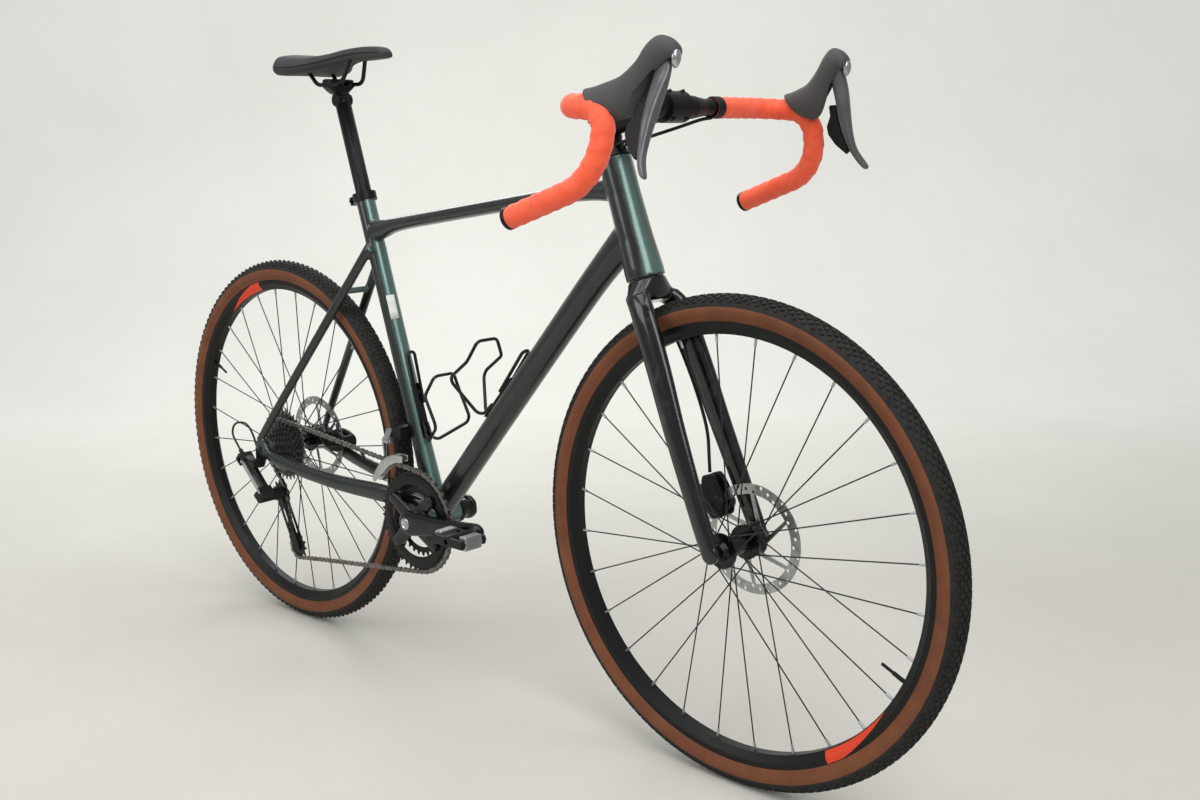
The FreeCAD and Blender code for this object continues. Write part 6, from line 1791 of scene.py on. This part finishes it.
@dataclass
class Saddle:
    """Padded saddle with a crowned cover and a sewn edge."""

    tail: float = -0.4525
    length: float = 0.268
    top: float = 1.066
    half_width: float = 0.071
    depth: float = 0.034
    shares: Sequence[Sequence[float]] = (
        (0.0, 0.56, -0.12, 0.55), (0.03, 0.76, 0.06, 0.96), (0.10, 0.95, 0.12, 1.10), (0.20, 1.0, 0.04, 1.06),
        (0.33, 0.86, -0.06, 0.86), (0.48, 0.50, 0.0, 0.68), (0.64, 0.31, 0.15, 0.64), (0.82, 0.27, 0.18, 0.66),
        (0.95, 0.225, 0.08, 0.54), (1.0, 0.15, -0.16, 0.26))
    seam_shares: Sequence[float] = (0.02, 0.08, 0.16, 0.26, 0.36, 0.46, 0.56, 0.68, 0.8, 0.9, 0.97)
    seam_radius: float = 0.0009
    seam_side: float = 0.962
    seam_drop: float = 0.36
    crown: float = 0.135
    crown_power: float = 2.4
    edge_start: float = 0.72
    edge_drop: float = 0.55
    edge_power: float = 2.6
    waist: tuple[float, float] = (0.985, 0.9)
    groove_depth: float = 0.0016
    groove_middle: float = 0.42
    groove_length: float = 0.24
    groove_width: float = 0.16
    base_width: float = 0.84
    base_hollow: float = 0.0012
    top_steps: int = 32
    base_steps: int = 12
    sections: int = 64
    end_shares: Sequence[float] = (0.008, 0.02, 0.985, 0.994)
    fill: float = 0.85

    def station(self, share: float) -> Sequence[float]:
        """Read width, rise and depth at a place along the saddle.

        Args:
            share: Place from tail to nose.

        Returns:
            Half width, crown height and depth in metres.
        """
        index = max(k for k in range(len(self.shares) - 1) if self.shares[k][0] <= share)
        first, second = self.shares[index], self.shares[index + 1]
        before = self.shares[max(index - 1, 0)]
        after = self.shares[min(index + 2, len(self.shares) - 1)]
        part = (share - first[0]) / (second[0] - first[0])
        values = []
        for column in (1, 2, 3):
            lean_in = (second[column] - before[column]) / max(second[0] - before[0], 1e-6) * (second[0] - first[0])
            lean_out = (after[column] - first[column]) / max(after[0] - first[0], 1e-6) * (second[0] - first[0])
            if index == 0:
                lean_in = second[column] - first[column]
            if index == len(self.shares) - 2:
                lean_out = second[column] - first[column]
            square, cube = part * part, part ** 3
            values.append((2 * cube - 3 * square + 1) * first[column] + (cube - 2 * square + part) * lean_in
                          + (3 * square - 2 * cube) * second[column] + (cube - square) * lean_out)
        return values[0] * self.half_width, self.top + values[1] * self.depth, values[2] * self.depth

    def ring(self, share: float) -> list[Vector]:
        """Return one section of the cover, right edge first.

        Args:
            share: Place from tail to nose.

        Returns:
            Points of the section.
        """
        half, top, height = self.station(share)
        place = self.tail + share * self.length
        groove = self.groove_depth * math.exp(-((share - self.groove_middle) / self.groove_length) ** 2)
        narrow, narrow_end = self.waist
        made = []
        for step in range(self.top_steps + 1):
            lean = -1 + 2 * step / self.top_steps
            edge = max(0.0, (abs(lean) - self.edge_start) / (1 - self.edge_start))
            drop = self.crown * half * abs(lean) ** self.crown_power + self.edge_drop * height * edge ** self.edge_power
            wide = half * (narrow if abs(lean) < narrow_end else 1.0)
            dip = groove * math.exp(-(lean / self.groove_width) ** 2)
            made.append(Vector((place, wide * lean, top - drop - dip)))
        base = top - height
        for step in range(self.base_steps + 1):
            lean = 1 - 2 * step / self.base_steps
            made.append(Vector((place, half * self.base_width * lean, base + self.base_hollow * (1 - lean * lean))))
        return made

    def build(self) -> None:
        """Build the cover and its sewn edge."""
        places = sorted({round(k / self.sections, 4) for k in range(self.sections + 1)} | set(self.end_shares))
        rings = [self.ring(share) for share in places]
        made = Piece.mesh("saddle_padding", *Piece.skin(rings))
        even = made.modifiers.new("soften", "SMOOTH")
        even.iterations = 3
        rounder = made.modifiers.new("rounder", "SUBSURF")
        rounder.levels = rounder.render_levels = 1
        Piece.finish(made, "seat", "saddle_cover", COVER, "saddle")
        for side in Side:
            spots = []
            for share in self.seam_shares:
                half, top, height = self.station(share)
                spots.append((self.tail + share * self.length, side.value * half * self.seam_side,
                              top - self.crown * half - self.seam_drop * height))
            seam = Piece.spline("saddle_seam_" + side.word, spots)
            seam.data.bevel_depth = self.seam_radius
            Piece.finish(seam, "seat", "saddle_cover", BAND)


@dataclass(frozen=True)
class CordRoute:
    """Route of one housing or hose, in metres."""

    name: str
    body: str
    node: str
    radius: float
    points: Sequence[Colour]


@dataclass
class Cords:
    """Housing and hoses that run from one piece to another."""

    routes: Sequence[CordRoute] = (
        CordRoute("shift_housing", "frame", "frame_cables", 0.002,
                  ((-0.548, -0.0755, 0.351), (-0.562, -0.076, 0.3944), (-0.6075, -0.082, 0.3944),
                   (-0.6166, -0.086, 0.3718), (-0.5976, -0.088, 0.3535), (-0.5863, -0.088, 0.3426))),
        CordRoute("rear_hose", "frame", "frame_cables", 0.0025,
                  ((-0.386, 0.055, 0.329), (-0.402, 0.057, 0.341), (-0.418, 0.0585, 0.345), (-0.430, 0.059, 0.346))),
        CordRoute("front_hose", "steering", "steering_hoses", 0.0025,
                  ((0.37606, 0.038, 0.66262), (0.40126, 0.044, 0.60779), (0.42504, 0.0475, 0.55247),
                   (0.44551, 0.048, 0.49605), (0.45061, 0.044, 0.45874), (0.45427, 0.041, 0.43519))),
    )
    bar_points: Sequence[Colour] = (
        (0.42365, 0.0855, 0.93442), (0.42365, 0.070, 0.93402), (0.41365, 0.040, 0.92502),
        (0.37365, 0.015, 0.91102), (0.33065, 0.0095, 0.90052))
    bar_radius: float = 0.0025

    def bar_hose(self, side: Side) -> CordRoute:
        """Return the route of one bar hose, mirrored for the right side."""
        return CordRoute(side.word + "_bar_hose", "steering", "steering_hoses", self.bar_radius,
                         tuple((x, side.value * y, z) for x, y, z in self.bar_points))

    def cord(self, route: CordRoute) -> None:
        """Args:
            route: The route.
        """
        made = Piece.spline(route.name, route.points)
        data = made.data
        bare = bpy.data.meshes.new_from_object(made)
        data.bevel_depth = route.radius
        data.bevel_resolution = 6
        data.use_fill_caps = True
        Piece.finish(made, route.body, "black_plastic", HOSE_BLACK, route.node)

    def build(self) -> None:
        """Lay every cord."""
        for route in (*self.routes, *(self.bar_hose(side) for side in Side)):
            self.cord(route)


@dataclass
class Nodes:
    """Finishes of the plain nodes, also of some that a dressed piece stands for."""

    table: Sequence[tuple[Finish, Sequence[str]]] = (
        (SATIN_BLACK, ("derailleur_hanger", "seat_clamp", "bottom_bracket_cups", "fd_mount", "rear_caliper",
                       "rear_axle", "rd_inner_link", "rd_cage", "chainrings", "headset_cover", "stem", "handlebar",
                       "front_caliper", "front_axle", "seatpost", "saddle_rails")),
        (GLOSS_BLACK, ("bottle_cages", "crank_arms")),
        (STEEL, ("headset_bearings", "chain")),
        (BLACK_PLASTIC, ("rd_upper_knuckle", "rd_lower_knuckle", "guide_pulley", "tension_pulley",
                         "right_shift_paddle", "left_shift_paddle")),
        (SILVER, ("rd_outer_link", "fd_link", "fd_cage")),
        (PLATE_STEEL, ("cassette",)),
        (RIGHT_PEDAL, ("right_pedal",)),
        (LEFT_PEDAL, ("left_pedal",)),
        (FORK_LACQUER, ("fork",)),
        (HOOD_RUBBER, ("lever_hoods",)),
        (GUNMETAL, ("right_brake_lever", "left_brake_lever")),
        (DARK_STEEL, ("front_inner_pad", "front_outer_pad", "rear_inner_pad", "rear_outer_pad")))

    def dress(self, node: str, finish: Finish) -> None:
        """Give one node its finish.

        Args:
            node: Name of the node.
            finish: Its finish.
        """
        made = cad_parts[node]
        if not made.material_slots:
            made.data.materials.append(finish.material())
        for slot in made.material_slots:
            slot.material = finish.material()
        LOG.info("node %s in %s", node, finish.name)

    def build(self) -> None:
        """Dress every node of the table."""
        for finish, nodes in self.table:
            for node in nodes:
                self.dress(node, finish)


def main() -> None:
    """Build the studio and every dressed piece in order."""
    logging.basicConfig(level=logging.INFO, format="%(message)s")
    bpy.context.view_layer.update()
    Studio().build()
    Cords().build()
    nodes = Nodes()
    nodes.build()
    FrameSkin().build()
    ForkSkin().build()
    CrankSkin().build()
    CaliperSkin().build()
    CaliperSkin(name="front", body="steering", axle=FRONT_AXLE, long=STEER_UP, high=STEER_AHEAD, disc_side=0.0395,
                half_width=0.0152, start=0.039, end=0.103, rise=-0.043, half_rise=0.018, piston=(0.058, -0.036),
                bridge=(0.086, -0.053)).build()
    FrontCage().build()
    SeatPost().build()
    Wheel("front", FRONT_AXLE, math.radians(-47.0)).build(nodes.dress)
    Wheel("rear", REAR_AXLE, math.radians(114.0)).build(nodes.dress)
    BarWrap().build()
    HoodSkin().build()
    LeverBlades().build()
    LeverCaps().build()
    Saddle().build()


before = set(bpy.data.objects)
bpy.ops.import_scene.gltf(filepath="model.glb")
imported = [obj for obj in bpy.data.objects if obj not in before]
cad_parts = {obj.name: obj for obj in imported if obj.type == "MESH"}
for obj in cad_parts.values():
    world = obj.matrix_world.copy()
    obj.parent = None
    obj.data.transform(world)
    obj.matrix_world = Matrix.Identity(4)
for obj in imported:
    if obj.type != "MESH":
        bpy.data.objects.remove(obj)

if __name__ == "__main__":
    main()
